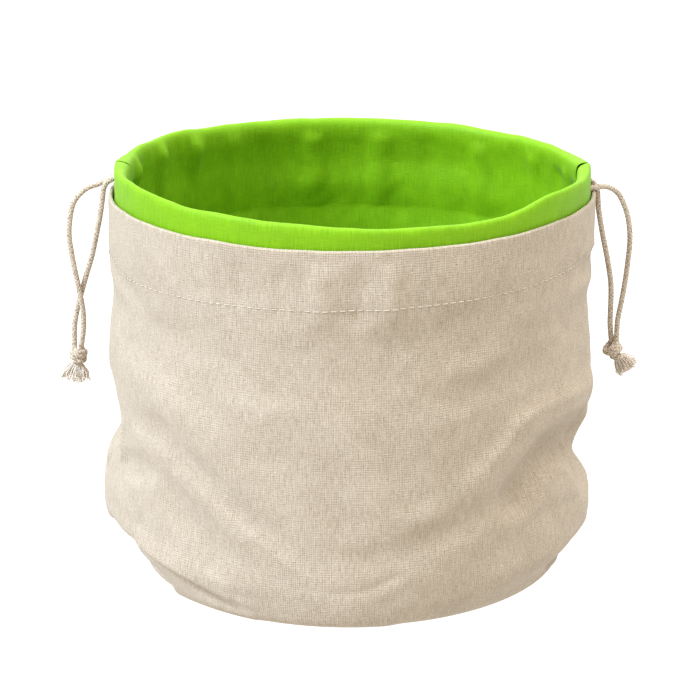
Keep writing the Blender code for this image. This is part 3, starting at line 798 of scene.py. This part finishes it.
def braided_tube(path, sides):
    """The faces, points, cloth coordinates and yarn heights of a braid with closed ends."""
    side, other = path_frames(path)
    run = running(path)[:, None]
    around = np.arange(sides)[None, :] / sides
    relief = braid_relief(around, run)
    reach = CORD / 2 + BRAID_RELIEF * (relief - BRAID_MEAN)
    turn = 2 * math.pi * around
    points = (
        path[:, None]
        + side[:, None] * (np.cos(turn) * reach)[..., None]
        + other[:, None] * (np.sin(turn) * reach)[..., None]
    )
    index = np.arange(relief.size).reshape(relief.shape)
    points = np.concatenate([points.reshape(-1, 3), path[:1], path[-1:]])
    faces = ring_faces(index) + cap_faces(index[0], relief.size, flipped=True)
    faces += cap_faces(index[-1], relief.size + 1)
    uvs = np.stack(np.broadcast_arrays(around * CORD_GIRTH, run), -1).reshape(-1, 2)
    uvs = np.concatenate([uvs, [[0.0, run[0, 0]], [0.0, run[-1, 0]]]])
    return faces, points, uvs, np.concatenate([relief.ravel(), [0.5, 0.5]])


def tube_piece(name, tubes, material):
    """One piece out of one or more braided tubes."""
    faces, count = [], 0
    for tube_faces, tube_points, _, _ in tubes:
        faces += [[corner + count for corner in corners] for corners in tube_faces]
        count += len(tube_points)
    points, uvs, heights = (np.concatenate(values) for values in list(zip(*tubes))[1:])
    obj = finish_mesh(name, points, faces, uvs, material)
    # The yarn heights are kept for the cord's painted shade, which darkens the gaps between its
    # yarns.
    attribute = obj.data.attributes.new("yarn height", "FLOAT", "POINT")
    attribute.data.foreach_set("value", heights)
    return obj


def casing_points(casing):
    """A drawcord's hidden run, once round the bag inside the collar."""
    step = 180.0 / CASING_COLUMNS
    azimuth = casing["seam"] + casing["turn"] * step * np.arange(1, 2 * CASING_COLUMNS)
    points = sunk(azimuth, TOP, casing["inset"] + CASING_PULL * pulled_in(azimuth))
    points[:, 2] += casing["lift"] * (1.0 + round_bag(COLLAR_RISE, azimuth) / COLLAR_TOP)
    return points


def drawcord(side, material):
    """One drawcord: its two free strands, and its run inside the casing."""
    up = np.array(STRANDS[side]["back"])[::-1]
    hidden = casing_points(CASINGS[side])
    down = np.array(STRANDS[side]["front"])
    route = np.concatenate([up, hidden, down])
    enters, leaves = len(up) - 1.0, float(len(up) + len(hidden))
    legs = {
        "back": (0.0, enters, STRAND_STEP, STRAND_SIDES),
        "hidden": (enters, leaves, HIDDEN_STEP, HIDDEN_SIDES),
        "front": (leaves, len(route) - 1.0, STRAND_STEP, STRAND_SIDES),
    }
    made = {}
    for leg, (start, end, step, sides) in legs.items():
        dense = smooth(route, np.linspace(start, end, int((end - start) * ROUTE_POINTS)))
        path = even_path(dense, step)
        name = f"{side}_drawcord_in_casing" if leg == "hidden" else f"{side}_cord_{leg}_strand"
        made[leg] = tube_piece(name, [braided_tube(path, sides)], material)
        if leg != "hidden":
            centres = (path[::-1] if leg == "back" else path) * MM
            made[leg + " path"] = centres[::PATH_STRIDE].tolist() + [centres[-1].tolist()]
    return made


# The knot's turns of doubled cord, each as points (across, through, along) in the knot's own
# axes, where along points from the strands to the frayed ends.
KNOT_TURNS = {
    "left": (
        ((0.7, 0.4, -9.4), (1.1, 0.4, -6.8), (2.2, -0.8, -4.2), (3.8, -0.8, -2.2),
         (3.5, 2.0, -1.2), (0.9, 3.6, -1.3), (-2.2, 3.0, -2.2), (-3.9, 0.4, -2.0),
         (-2.8, -2.6, -0.8), (0.6, -3.7, 0.4), (3.5, -2.1, 1.4), (3.8, 1.2, 1.9),
         (1.4, 3.3, 2.0), (-1.4, 2.4, 3.0), (-1.2, 0.4, 4.8), (-0.9, 0.0, 7.6)),
        ((-3.7, -0.4, -9.4), (-3.2, -0.2, -6.4), (-2.6, 1.4, -4.4), (0.2, 3.0, -3.8),
         (2.9, 1.8, -3.5), (3.7, -1.4, -3.0), (1.0, -3.3, -2.2), (-2.6, -2.4, 0.4),
         (-3.8, 0.6, 0.6), (-2.2, 2.9, 0.5), (0.8, 1.8, 1.0), (1.6, 0.6, 3.8), (1.2, 0.2, 7.6)),
    ),
    "right": (
        ((6.7, 1.8, -6.8), (5.0, 1.8, -4.7), (2.6, 3.2, -3.4), (-0.8, 3.6, -3.2),
         (-3.8, 1.4, -2.8), (-3.4, -2.2, -1.6), (0.2, -3.8, -0.4), (3.5, -2.2, 0.4),
         (3.9, 1.2, 0.8), (1.2, 3.7, 0.6), (-2.4, 2.8, 1.4), (-3.1, -0.2, 2.6),
         (-0.8, -1.6, 4.0), (1.0, -0.4, 5.6), (1.0, 0.0, 8.0)),
        ((4.4, -1.5, -8.6), (2.7, -1.5, -6.2), (0.2, -2.4, -4.8), (-2.8, -1.6, -4.4),
         (-4.6, 0.8, -3.2), (-2.8, 3.3, -1.3), (0.8, 3.8, -1.4), (3.7, 2.0, -1.7),
         (4.1, -1.2, -1.2), (1.8, -3.5, 1.2), (-1.8, -2.7, 2.2), (-2.6, 0.6, 3.4),
         (-0.4, 1.8, 4.4), (0.2, 0.4, 7.8)),
    ),
}
TUFT_START = 4.6          # from the knot's centre to where its yarns come free


def knot_matrix(side):
    """Turns the knot's own axes, in metres, to its place."""
    place = KNOT_PLACES[side]
    along = Vector(place["axis"]).normalized()
    across = Vector((1.0, 0.0, 0.0))
    across = (across - along * across.dot(along)).normalized()
    turn = Matrix((across, along.cross(across), along)).transposed().to_4x4()
    return Matrix.Translation(Vector(place["centre"]) * MM) @ turn


def knot(side, material):
    """The overhand knot that ties the two strands together."""
    matrix = knot_matrix(side)
    tubes = []
    for turns in KNOT_TURNS[side]:
        dense = smooth(turns, np.linspace(0.0, len(turns) - 1.0, KNOT_POINTS * len(turns)))
        path = [matrix @ Vector(point) for point in even_path(dense, KNOT_STEP) * MM]
        tubes.append(braided_tube(np.array(path) / MM, KNOT_SIDES))
    return tube_piece(f"{side}_knot", tubes, material)


# ------------------------------------------------------------------ node trees
def linear(hex_colour):
    """An sRGB hex colour as linear red, green, blue and alpha."""
    parts = [int(hex_colour[place:place + 2], 16) / 255 for place in (1, 3, 5)]
    return (*(p / 12.92 if p <= 0.04045 else ((p + 0.055) / 1.055) ** 2.4 for p in parts), 1.0)


def fill(node, inputs):
    """Give each named input a value or a link. A node stands for its first output in use."""
    for name, value in inputs.items():
        if isinstance(value, bpy.types.Node):
            value = next(socket for socket in value.outputs if socket.enabled)
        if isinstance(value, bpy.types.NodeSocket):
            node.id_data.links.new(value, node.inputs[name])
        else:
            node.inputs[name].default_value = value


def add(tree, kind, inputs=None, **settings):
    """Add a node with its settings and its inputs' values and links."""
    node = tree.nodes.new(kind)
    for name, value in settings.items():
        setattr(node, name, value)
    fill(node, inputs or {})
    return node


def geometry_tree(name, inputs):
    """An empty Geometry Nodes tree with named inputs, and its input and output nodes."""
    tree = bpy.data.node_groups.new(name, "GeometryNodeTree")
    tree.interface.new_socket("Geometry", in_out="OUTPUT", socket_type="NodeSocketGeometry")
    for label, kind in {"Geometry": "Geometry", **inputs}.items():
        tree.interface.new_socket(label, in_out="INPUT", socket_type="NodeSocket" + kind)
    return tree, add(tree, "NodeGroupInput").outputs, add(tree, "NodeGroupOutput")


def run_tree(name, tree, mesh, values):
    """A plain piece that a tree makes out of a mesh, with these values for its named inputs."""
    source = new_object(name + " guide", mesh)
    modifier = source.modifiers.new(tree.name, "NODES")
    modifier.node_group = tree
    for socket in tree.interface.items_tree:
        if socket.in_out == "INPUT" and socket.name in values:
            modifier[socket.identifier] = values[socket.name]
    evaluated = source.evaluated_get(bpy.context.evaluated_depsgraph_get())
    made = bpy.data.meshes.new_from_object(evaluated)
    made.name = name
    bpy.data.objects.remove(source)
    made.shade_smooth()
    return new_object(name, made)


def round_thread(tree, curve, radius):
    """A thread with closed ends along a curve."""
    ring = add(
        tree, "GeometryNodeCurvePrimitiveCircle", {"Resolution": 6, "Radius": radius},
        mode="RADIUS",
    )
    return add(
        tree, "GeometryNodeCurveToMesh", {"Curve": curve, "Profile Curve": ring, "Fill Caps": True}
    )


def stitch_tree():
    """A row of stitches along a line: short rounded arcs of thread, that lie outwards."""
    tree, given, result = geometry_tree("row of stitches", {
        "Pitch": "Float", "Stitch length": "Float", "Stitch height": "Float",
        "Thread radius": "Float", "Thread": "Material",
    })
    line = add(tree, "GeometryNodeMeshToCurve", {"Mesh": given["Geometry"]})
    places = add(
        tree, "GeometryNodeResampleCurve", {"Curve": line, "Length": given["Pitch"]}, mode="LENGTH"
    )
    ends = []
    for share in (-0.5, 0.5):
        reach = add(
            tree, "ShaderNodeMath", {0: given["Stitch length"], 1: share}, operation="MULTIPLY"
        )
        ends.append(add(tree, "ShaderNodeCombineXYZ", {"X": reach}))
    middle = add(tree, "ShaderNodeCombineXYZ", {"Z": given["Stitch height"]})
    arc = add(tree, "GeometryNodeCurveQuadraticBezier", {
        "Resolution": 8, "Start": ends[0], "Middle": middle, "End": ends[1],
    })
    outwards = add(
        tree, "ShaderNodeVectorMath",
        {0: add(tree, "GeometryNodeInputPosition"), 1: (1.0, 1.0, 0.0)}, operation="MULTIPLY",
    )
    along = add(
        tree, "FunctionNodeAlignRotationToVector",
        {"Vector": add(tree, "GeometryNodeInputTangent")}, axis="X",
    )
    facing = add(
        tree, "FunctionNodeAlignRotationToVector", {"Rotation": along, "Vector": outwards},
        axis="Z", pivot_axis="X",
    )
    slack = add(
        tree, "FunctionNodeRandomValue", {2: 0.85, 3: 1.1, "Seed": 5}, data_type="FLOAT"
    )
    placed = add(tree, "GeometryNodeInstanceOnPoints", {
        "Points": places, "Instance": round_thread(tree, arc, given["Thread radius"]),
        "Rotation": facing, "Scale": slack,
    })
    real = add(tree, "GeometryNodeRealizeInstances", {"Geometry": placed})
    sewn = add(tree, "GeometryNodeSetMaterial", {"Geometry": real, "Material": given["Thread"]})
    fill(result, {"Geometry": sewn})
    return tree


def fringe_tree():
    """A tuft of frayed yarns, bound together at the origin, that opens along +Z."""
    tree, given, result = geometry_tree("tuft of frayed yarns", {
        "Yarns": "Int", "Bound radius": "Float", "Length": "Float", "Yarn radius": "Float",
        "Spread": "Float", "Waviness": "Float", "Seed": "Int", "Cotton": "Material",
    })

    def drawn(low, high, extra):
        """A random number of its own for each yarn."""
        seed = add(tree, "ShaderNodeMath", {0: given["Seed"], 1: extra}, operation="ADD")
        return add(
            tree, "FunctionNodeRandomValue", {2: low, 3: high, "Seed": seed}, data_type="FLOAT"
        )

    angle = drawn(0.0, math.tau, 1)
    out = add(tree, "ShaderNodeMath", {0: drawn(0.0, 1.0, 2)}, operation="SQRT")
    sides = {}
    for axis, wave in (("X", "COSINE"), ("Y", "SINE")):
        share = add(tree, "ShaderNodeMath", {0: angle}, operation=wave)
        sides[axis] = add(tree, "ShaderNodeMath", {0: out, 1: share}, operation="MULTIPLY")
    unit = add(tree, "ShaderNodeCombineXYZ", sides)
    place, lean = (
        add(tree, "ShaderNodeVectorMath", {0: unit, "Scale": given[size]}, operation="SCALE")
        for size in ("Bound radius", "Spread")
    )
    points = add(tree, "GeometryNodePoints", {"Count": given["Yarns"], "Position": place})
    stray = add(tree, "ShaderNodeCombineXYZ", {
        "X": drawn(-YARN_STRAY, YARN_STRAY, 3), "Y": drawn(-YARN_STRAY, YARN_STRAY, 4), "Z": 1.0,
    })
    way = add(tree, "ShaderNodeVectorMath", {0: lean, 1: stray}, operation="ADD")
    line = add(tree, "GeometryNodeCurveQuadraticBezier", {
        "Resolution": 12, "Start": (0.0, 0.0, 0.0), "Middle": (0.16, 0.03, 0.5),
        "End": (-0.04, 0.0, 1.0),
    })
    along = add(tree, "GeometryNodeSplineParameter")
    thinned = add(tree, "ShaderNodeMath", {0: along, 1: YARN_TAPER}, operation="MULTIPLY")
    taper = add(tree, "ShaderNodeMath", {0: 1.0, 1: thinned}, operation="SUBTRACT")
    yarn = add(tree, "GeometryNodeSetCurveRadius", {"Curve": line, "Radius": taper})
    turned = add(tree, "FunctionNodeAlignRotationToVector", {"Vector": way}, axis="Z")
    spin = add(tree, "FunctionNodeAxisAngleToRotation", {
        "Axis": (0.0, 0.0, 1.0), "Angle": drawn(0.0, math.tau, 5),
    })
    rotation = add(
        tree, "FunctionNodeRotateRotation", {"Rotation": turned, "Rotate By": spin},
        rotation_space="LOCAL",
    )
    length = add(
        tree, "ShaderNodeMath", {0: given["Length"], 1: drawn(YARN_SHORTEST, 1.0, 6)},
        operation="MULTIPLY",
    )
    placed = add(tree, "GeometryNodeInstanceOnPoints", {
        "Points": points, "Instance": yarn, "Rotation": rotation, "Scale": length,
    })
    real = add(tree, "GeometryNodeRealizeInstances", {"Geometry": placed})
    noise = add(
        tree, "ShaderNodeTexNoise",
        {"Vector": add(tree, "GeometryNodeInputPosition"), "Scale": YARN_NOISE, "Detail": 1.0},
        noise_dimensions="3D",
    )
    centred = add(
        tree, "ShaderNodeVectorMath", {0: noise.outputs["Color"], 1: (0.5, 0.5, 0.5)},
        operation="SUBTRACT",
    )
    strength = add(tree, "ShaderNodeMath", {0: given["Waviness"], 1: along}, operation="MULTIPLY")
    offset = add(tree, "ShaderNodeVectorMath", {0: centred, "Scale": strength}, operation="SCALE")
    wavy = add(tree, "GeometryNodeSetPosition", {"Geometry": real, "Offset": offset})
    frayed = add(tree, "GeometryNodeSetMaterial", {
        "Geometry": round_thread(tree, wavy, given["Yarn radius"]), "Material": given["Cotton"],
    })
    fill(result, {"Geometry": frayed})
    return tree


# ------------------------------------------------------------------ materials
def new_material(name, **finish):
    """A material with its shader's own sockets set. Spaces in a socket's name are underscores."""
    material = bpy.data.materials.new(name)
    material.use_nodes = True
    shader = material.node_tree.nodes["Principled BSDF"]
    fill(shader, {socket.replace("_", " "): value for socket, value in finish.items()})
    return material, material.node_tree, shader


def uneven(tree, place, width, length, detail=1.0):
    """Random unevenness with spots of this width and length in mm, about 0.5."""
    scaled = add(tree, "ShaderNodeMapping", {
        "Vector": place, "Scale": (1.0 / (width * MM), 1.0 / (length * MM), 1.0),
    })
    return add(
        tree, "ShaderNodeTexNoise", {"Vector": scaled, "Scale": 1.0, "Detail": detail},
        noise_dimensions="2D",
    )


def threads(tree, place, axis, spacing):
    """A weave's threads of one direction: even lines this many mm apart, a little out of true."""
    scaled = add(tree, "ShaderNodeMapping", {"Vector": place, "Scale": (1 / MM, 1 / MM, 1.0)})
    wave = add(tree, "ShaderNodeTexWave", {
        "Vector": scaled, "Scale": math.pi / 10 / spacing, "Distortion": 3.0, "Detail": 1.0,
        "Detail Scale": 0.6,
    }, bands_direction=axis)
    return wave.outputs["Fac"]


def summed(tree, *parts):
    """0.5, and each part's difference from 0.5 by its weight."""
    total = 0.5 - sum(weight for _, weight in parts) * 0.5
    for value, weight in parts:
        total = add(
            tree, "ShaderNodeMath", {0: value, 1: weight, 2: total}, operation="MULTIPLY_ADD"
        )
    return total


def colour_by_tone(tree, tone, dark, light, *marks):
    """A cloth's colour by its tone, from dark to light, with marks in it. The cord's tone also
    holds painted shade in the gaps between its yarns.

    Each mark is an unevenness, the two values between which the mark rises, how much of its
    colour it has at most, and its colour.
    """
    colour = add(
        tree, "ShaderNodeMix", {0: tone, 6: linear(dark), 7: linear(light)}, data_type="RGBA"
    )
    for spots, low, high, most, shade in marks:
        share = add(tree, "ShaderNodeMapRange", {
            "Value": spots, "From Min": low, "From Max": high, "To Max": most,
        })
        colour = add(
            tree, "ShaderNodeMix", {0: share, 6: colour, 7: linear(shade)}, data_type="RGBA"
        )
    return colour


def linen_cloth():
    """Unbleached linen, plain woven from uneven thread: streaks, pale slubs and dark flecks."""
    material, tree, shader = new_material(
        "unbleached plain-woven linen", Roughness=0.92, Specular_IOR_Level=0.25,
        Sheen_Weight=0.12, Sheen_Roughness=0.5,
    )
    cloth = add(tree, "ShaderNodeUVMap", uv_map="cloth")
    # Real threads are about 0.6 mm apart, too fine to show, so they are drawn 1.3 mm apart.
    warp, weft = uneven(tree, cloth, 0.62, 9.0, 2.0), uneven(tree, cloth, 6.0, 0.62, 2.0)
    mottle, patch = uneven(tree, cloth, 1.6, 1.8, 2.0), uneven(tree, cloth, 26.0, 22.0)
    upright, level = threads(tree, cloth, "X", 1.3), threads(tree, cloth, "Y", 1.4)
    tone = summed(
        tree, (warp, 1.1), (weft, 0.4), (mottle, 0.5), (patch, 0.3), (upright, 0.24), (level, 0.12)
    )
    weave = summed(
        tree, (warp, 0.8), (weft, 0.8), (mottle, 0.4), (upright, 0.5), (level, 0.4)
    )
    fill(shader, {
        "Base Color": colour_by_tone(
            tree, tone, "#988973", "#C0B29E",
            (uneven(tree, cloth, 0.9, 1.2, 0.0), 0.78, 0.84, 0.6, "#75634C"),
            (uneven(tree, cloth, 3.5, 0.7, 0.0), 0.78, 0.88, 0.3, "#D8CAB6"),
        ),
        "Normal": add(
            tree, "ShaderNodeBump", {"Height": weave, "Distance": 0.35 * MM, "Strength": 0.7}
        ),
    })
    return material


def green_cloth():
    """Dyed plain cotton: an even bright green, with fine upright threads and a soft bloom."""
    material, tree, shader = new_material(
        "dyed green cotton", Roughness=0.6, Specular_IOR_Level=0.2,
        Sheen_Weight=0.03, Sheen_Roughness=0.4,
    )
    cloth = add(tree, "ShaderNodeUVMap", uv_map="cloth")
    # Real threads are about 0.35 mm apart, too fine to show, so they are drawn 0.7 mm wide.
    warp, weft = uneven(tree, cloth, 0.7, 12.0), uneven(tree, cloth, 7.0, 0.6)
    tone = summed(tree, (warp, 0.9), (weft, 0.5), (uneven(tree, cloth, 20.0, 16.0, 2.0), 0.5))
    weave = summed(tree, (warp, 1.0), (weft, 0.8))
    fill(shader, {
        "Base Color": colour_by_tone(tree, tone, "#649402", "#7FB20A"),
        "Normal": add(
            tree, "ShaderNodeBump", {"Height": weave, "Distance": 0.2 * MM, "Strength": 0.6}
        ),
    })
    return material


def cord_cotton():
    """Braided natural cotton cord: cream yarns, painted shade in the gaps between them, and brown
    seed flecks.
    """
    material, tree, shader = new_material(
        "braided natural cotton", Roughness=0.9, Specular_IOR_Level=0.2, Sheen_Weight=0.15
    )
    cloth = add(tree, "ShaderNodeUVMap", uv_map="cloth")
    # Painted shade: the yarn height darkens the colour where the braid's gaps lie low, on top of
    # the fibres' own unevenness.
    height = add(tree, "ShaderNodeAttribute", attribute_name="yarn height").outputs["Fac"]
    fibres = uneven(tree, cloth, 0.5, 0.9, 2.0)
    fill(shader, {
        "Base Color": colour_by_tone(
            tree, summed(tree, (height, 1.1), (fibres, 0.7)), "#90806A", "#CDC0AE",
            (uneven(tree, cloth, 1.0, 1.2, 0.0), 0.58, 0.66, 0.7, "#846644"),
        ),
        "Normal": add(
            tree, "ShaderNodeBump", {"Height": fibres, "Distance": 0.15 * MM, "Strength": 0.6}
        ),
    })
    return material


def frayed_cotton():
    """Unravelled natural cotton yarn: paler than the cord, soft and matt."""
    material, tree, shader = new_material(
        "frayed natural cotton yarn", Roughness=0.95, Specular_IOR_Level=0.15, Sheen_Weight=0.2
    )
    tone = uneven(tree, add(tree, "ShaderNodeTexCoord").outputs["Object"], 1.0, 1.0, 2.0)
    fill(shader, {"Base Color": colour_by_tone(tree, tone, "#BFB09C", "#E2D8CA")})
    return material


def sewing_thread():
    """Natural sewing thread: a shade lighter than the linen, slightly smoother."""
    material, tree, shader = new_material(
        "natural sewing thread", Roughness=0.7, Specular_IOR_Level=0.35
    )
    tone = uneven(tree, add(tree, "ShaderNodeTexCoord").outputs["Object"], 0.8, 0.8)
    fill(shader, {"Base Color": colour_by_tone(tree, tone, "#B0A38E", "#D9CEBE")})
    return material


def seen_or_lit(tree, seen, lit):
    """A brightness that is one value to the camera, and another to what it lights."""
    ray = add(tree, "ShaderNodeLightPath").outputs["Is Camera Ray"]
    return add(tree, "ShaderNodeMapRange", {"Value": ray, "To Min": lit, "To Max": seen})


def pale_floor():
    """A matt white sweep, which the soft light washes out."""
    material, tree, shader = new_material(
        "matt white floor", Base_Color=linear("#2C2C2C"), Roughness=1.0, Specular_IOR_Level=0.0,
        Emission_Color=(1.0, 0.98, 0.95, 1.0),
    )
    fill(shader, {"Emission Strength": seen_or_lit(tree, seen=1.22, lit=1.16)})
    return material


# ------------------------------------------------------------------ making the pieces
def stitch_line(half):
    """The guide line of the hem's stitches on one half, as a mesh of edges."""
    along = np.linspace(STITCH_FROM, HALF_LENGTH - STITCH_FROM, STITCH_POINTS)
    azimuth = half["start"] + along / ARC
    height = stitch_height(azimuth)
    points = sunk(azimuth, station_at(height), -(hem_relief(azimuth, height) + STITCH_PROUD))
    mesh = bpy.data.meshes.new("stitch line")
    mesh.from_pydata((points * MM).tolist(), [(n, n + 1) for n in range(len(points) - 1)], [])
    return mesh


def ride(piece, slot, *nodes):
    """Let a piece move with the bag and stand for its nodes, which it hides. slot is not used."""
    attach(piece, BODY)
    if nodes:
        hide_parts(*nodes)


def build():
    """Make every piece, attach each to the bag, and hide the frame's parts that it stands for."""
    linen, green, cord = linen_cloth(), green_cloth(), cord_cotton()
    frayed, thread = frayed_cotton(), sewing_thread()
    tufts, stitches = fringe_tree(), stitch_tree()
    for side in ("left", "right"):
        made = drawcord(side, cord)
        tied = knot(side, cord)
        tuft = run_tree(f"{side}_tuft", tufts, bpy.data.meshes.new("tuft guide"), {
            "Yarns": 150, "Bound radius": 2.7 * MM, "Length": TUFTS[side]["Length"] * MM,
            "Yarn radius": 0.28 * MM, "Spread": TUFTS[side]["Spread"], "Waviness": 4.0 * MM,
            "Seed": TUFTS[side]["Seed"], "Cotton": frayed,
        })
        tuft.data.transform(knot_matrix(side) @ Matrix.Translation((0.0, 0.0, TUFT_START * MM)))
        for piece in (made["back"], made["front"], made["hidden"]):
            ride(piece, "cotton_cord", f"drawcord_{side}")
        for piece in (tied, tuft):
            ride(piece, "cotton_cord", f"knot_{side}")
    for half in HALVES:
        name = half["name"]
        shell = shell_panel(half, linen)
        lining = lining_panel(half, green)
        sewn = run_tree(f"hem_stitches_{name}", stitches, stitch_line(half), {
            "Pitch": 4.9 * MM, "Stitch length": 3.0 * MM, "Stitch height": 0.42 * MM,
            "Thread radius": 0.25 * MM, "Thread": thread,
        })
        ride(shell, "linen", f"shell_{name}")
        ride(sewn, "linen")
        ride(lining, "green_cotton", f"lining_{name}")
    for layer, slot, material, top, trim, thickness in (
        ("shell", "linen", linen, 0.9, 0.5, LINEN_THICKNESS),
        ("lining", "green_cotton", green, 2.5, 0.8, COTTON_THICKNESS),
    ):
        base = base_disc(f"{slot}_base", top, trim, thickness, material)
        ride(base, slot, f"{layer}_base")


# The studio's large soft lights, by where they stand and how high, in degrees.
LAMPS = table(
    "name azimuth height energy spread tint",
    ("window light", -64.0, 45.0, 5.4, 26.0, (0.68, 0.81, 1.0)),
    ("overhead light", 70.0, 70.0, 2.4, 40.0, (1.0, 1.0, 1.0)),
    ("back light", 185.0, 50.0, 1.2, 50.0, (1.0, 1.0, 1.0)),
)
FLOOR_REACH = 6.0        # metres from the bag to each side of the floor
FLOOR_DROP = 0.0005      # metres from the bag's base down to the floor, so that they don't meet


def light_and_floor():
    """Plain pale floor, white surroundings and the soft lights."""
    scene = bpy.context.scene
    mesh = bpy.data.meshes.new("floor")
    corners = [
        (x * FLOOR_REACH, y * FLOOR_REACH, 0.0) for x, y in ((-1, -1), (1, -1), (1, 1), (-1, 1))
    ]
    mesh.from_pydata(corners, [], [(0, 1, 2, 3)])
    mesh.materials.append(pale_floor())
    floor = new_object("floor", mesh)
    floor.location.z = -FLOOR_DROP
    world = bpy.data.worlds.new("white surroundings")
    scene.world = world
    world.use_nodes = True
    fill(world.node_tree.nodes["Background"], {
        "Color": (1.0, 0.98, 0.955, 1.0),
        "Strength": seen_or_lit(world.node_tree, seen=1.05, lit=0.95),
    })
    for lamp in LAMPS:
        sun = bpy.data.lights.new(lamp["name"], "SUN")
        sun.energy, sun.color = lamp["energy"], lamp["tint"]
        sun.angle = math.radians(lamp["spread"])
        turned, height = math.radians(lamp["azimuth"]), math.radians(lamp["height"])
        towards = Vector((
            -math.cos(height) * math.sin(turned), math.cos(height) * math.cos(turned),
            -math.sin(height),
        ))
        new_object(lamp["name"], sun).rotation_euler = towards.to_track_quat("-Z", "Y").to_euler()
    scene.view_settings.view_transform = "Standard"


build()
light_and_floor()

bpy.context.view_layer.update()
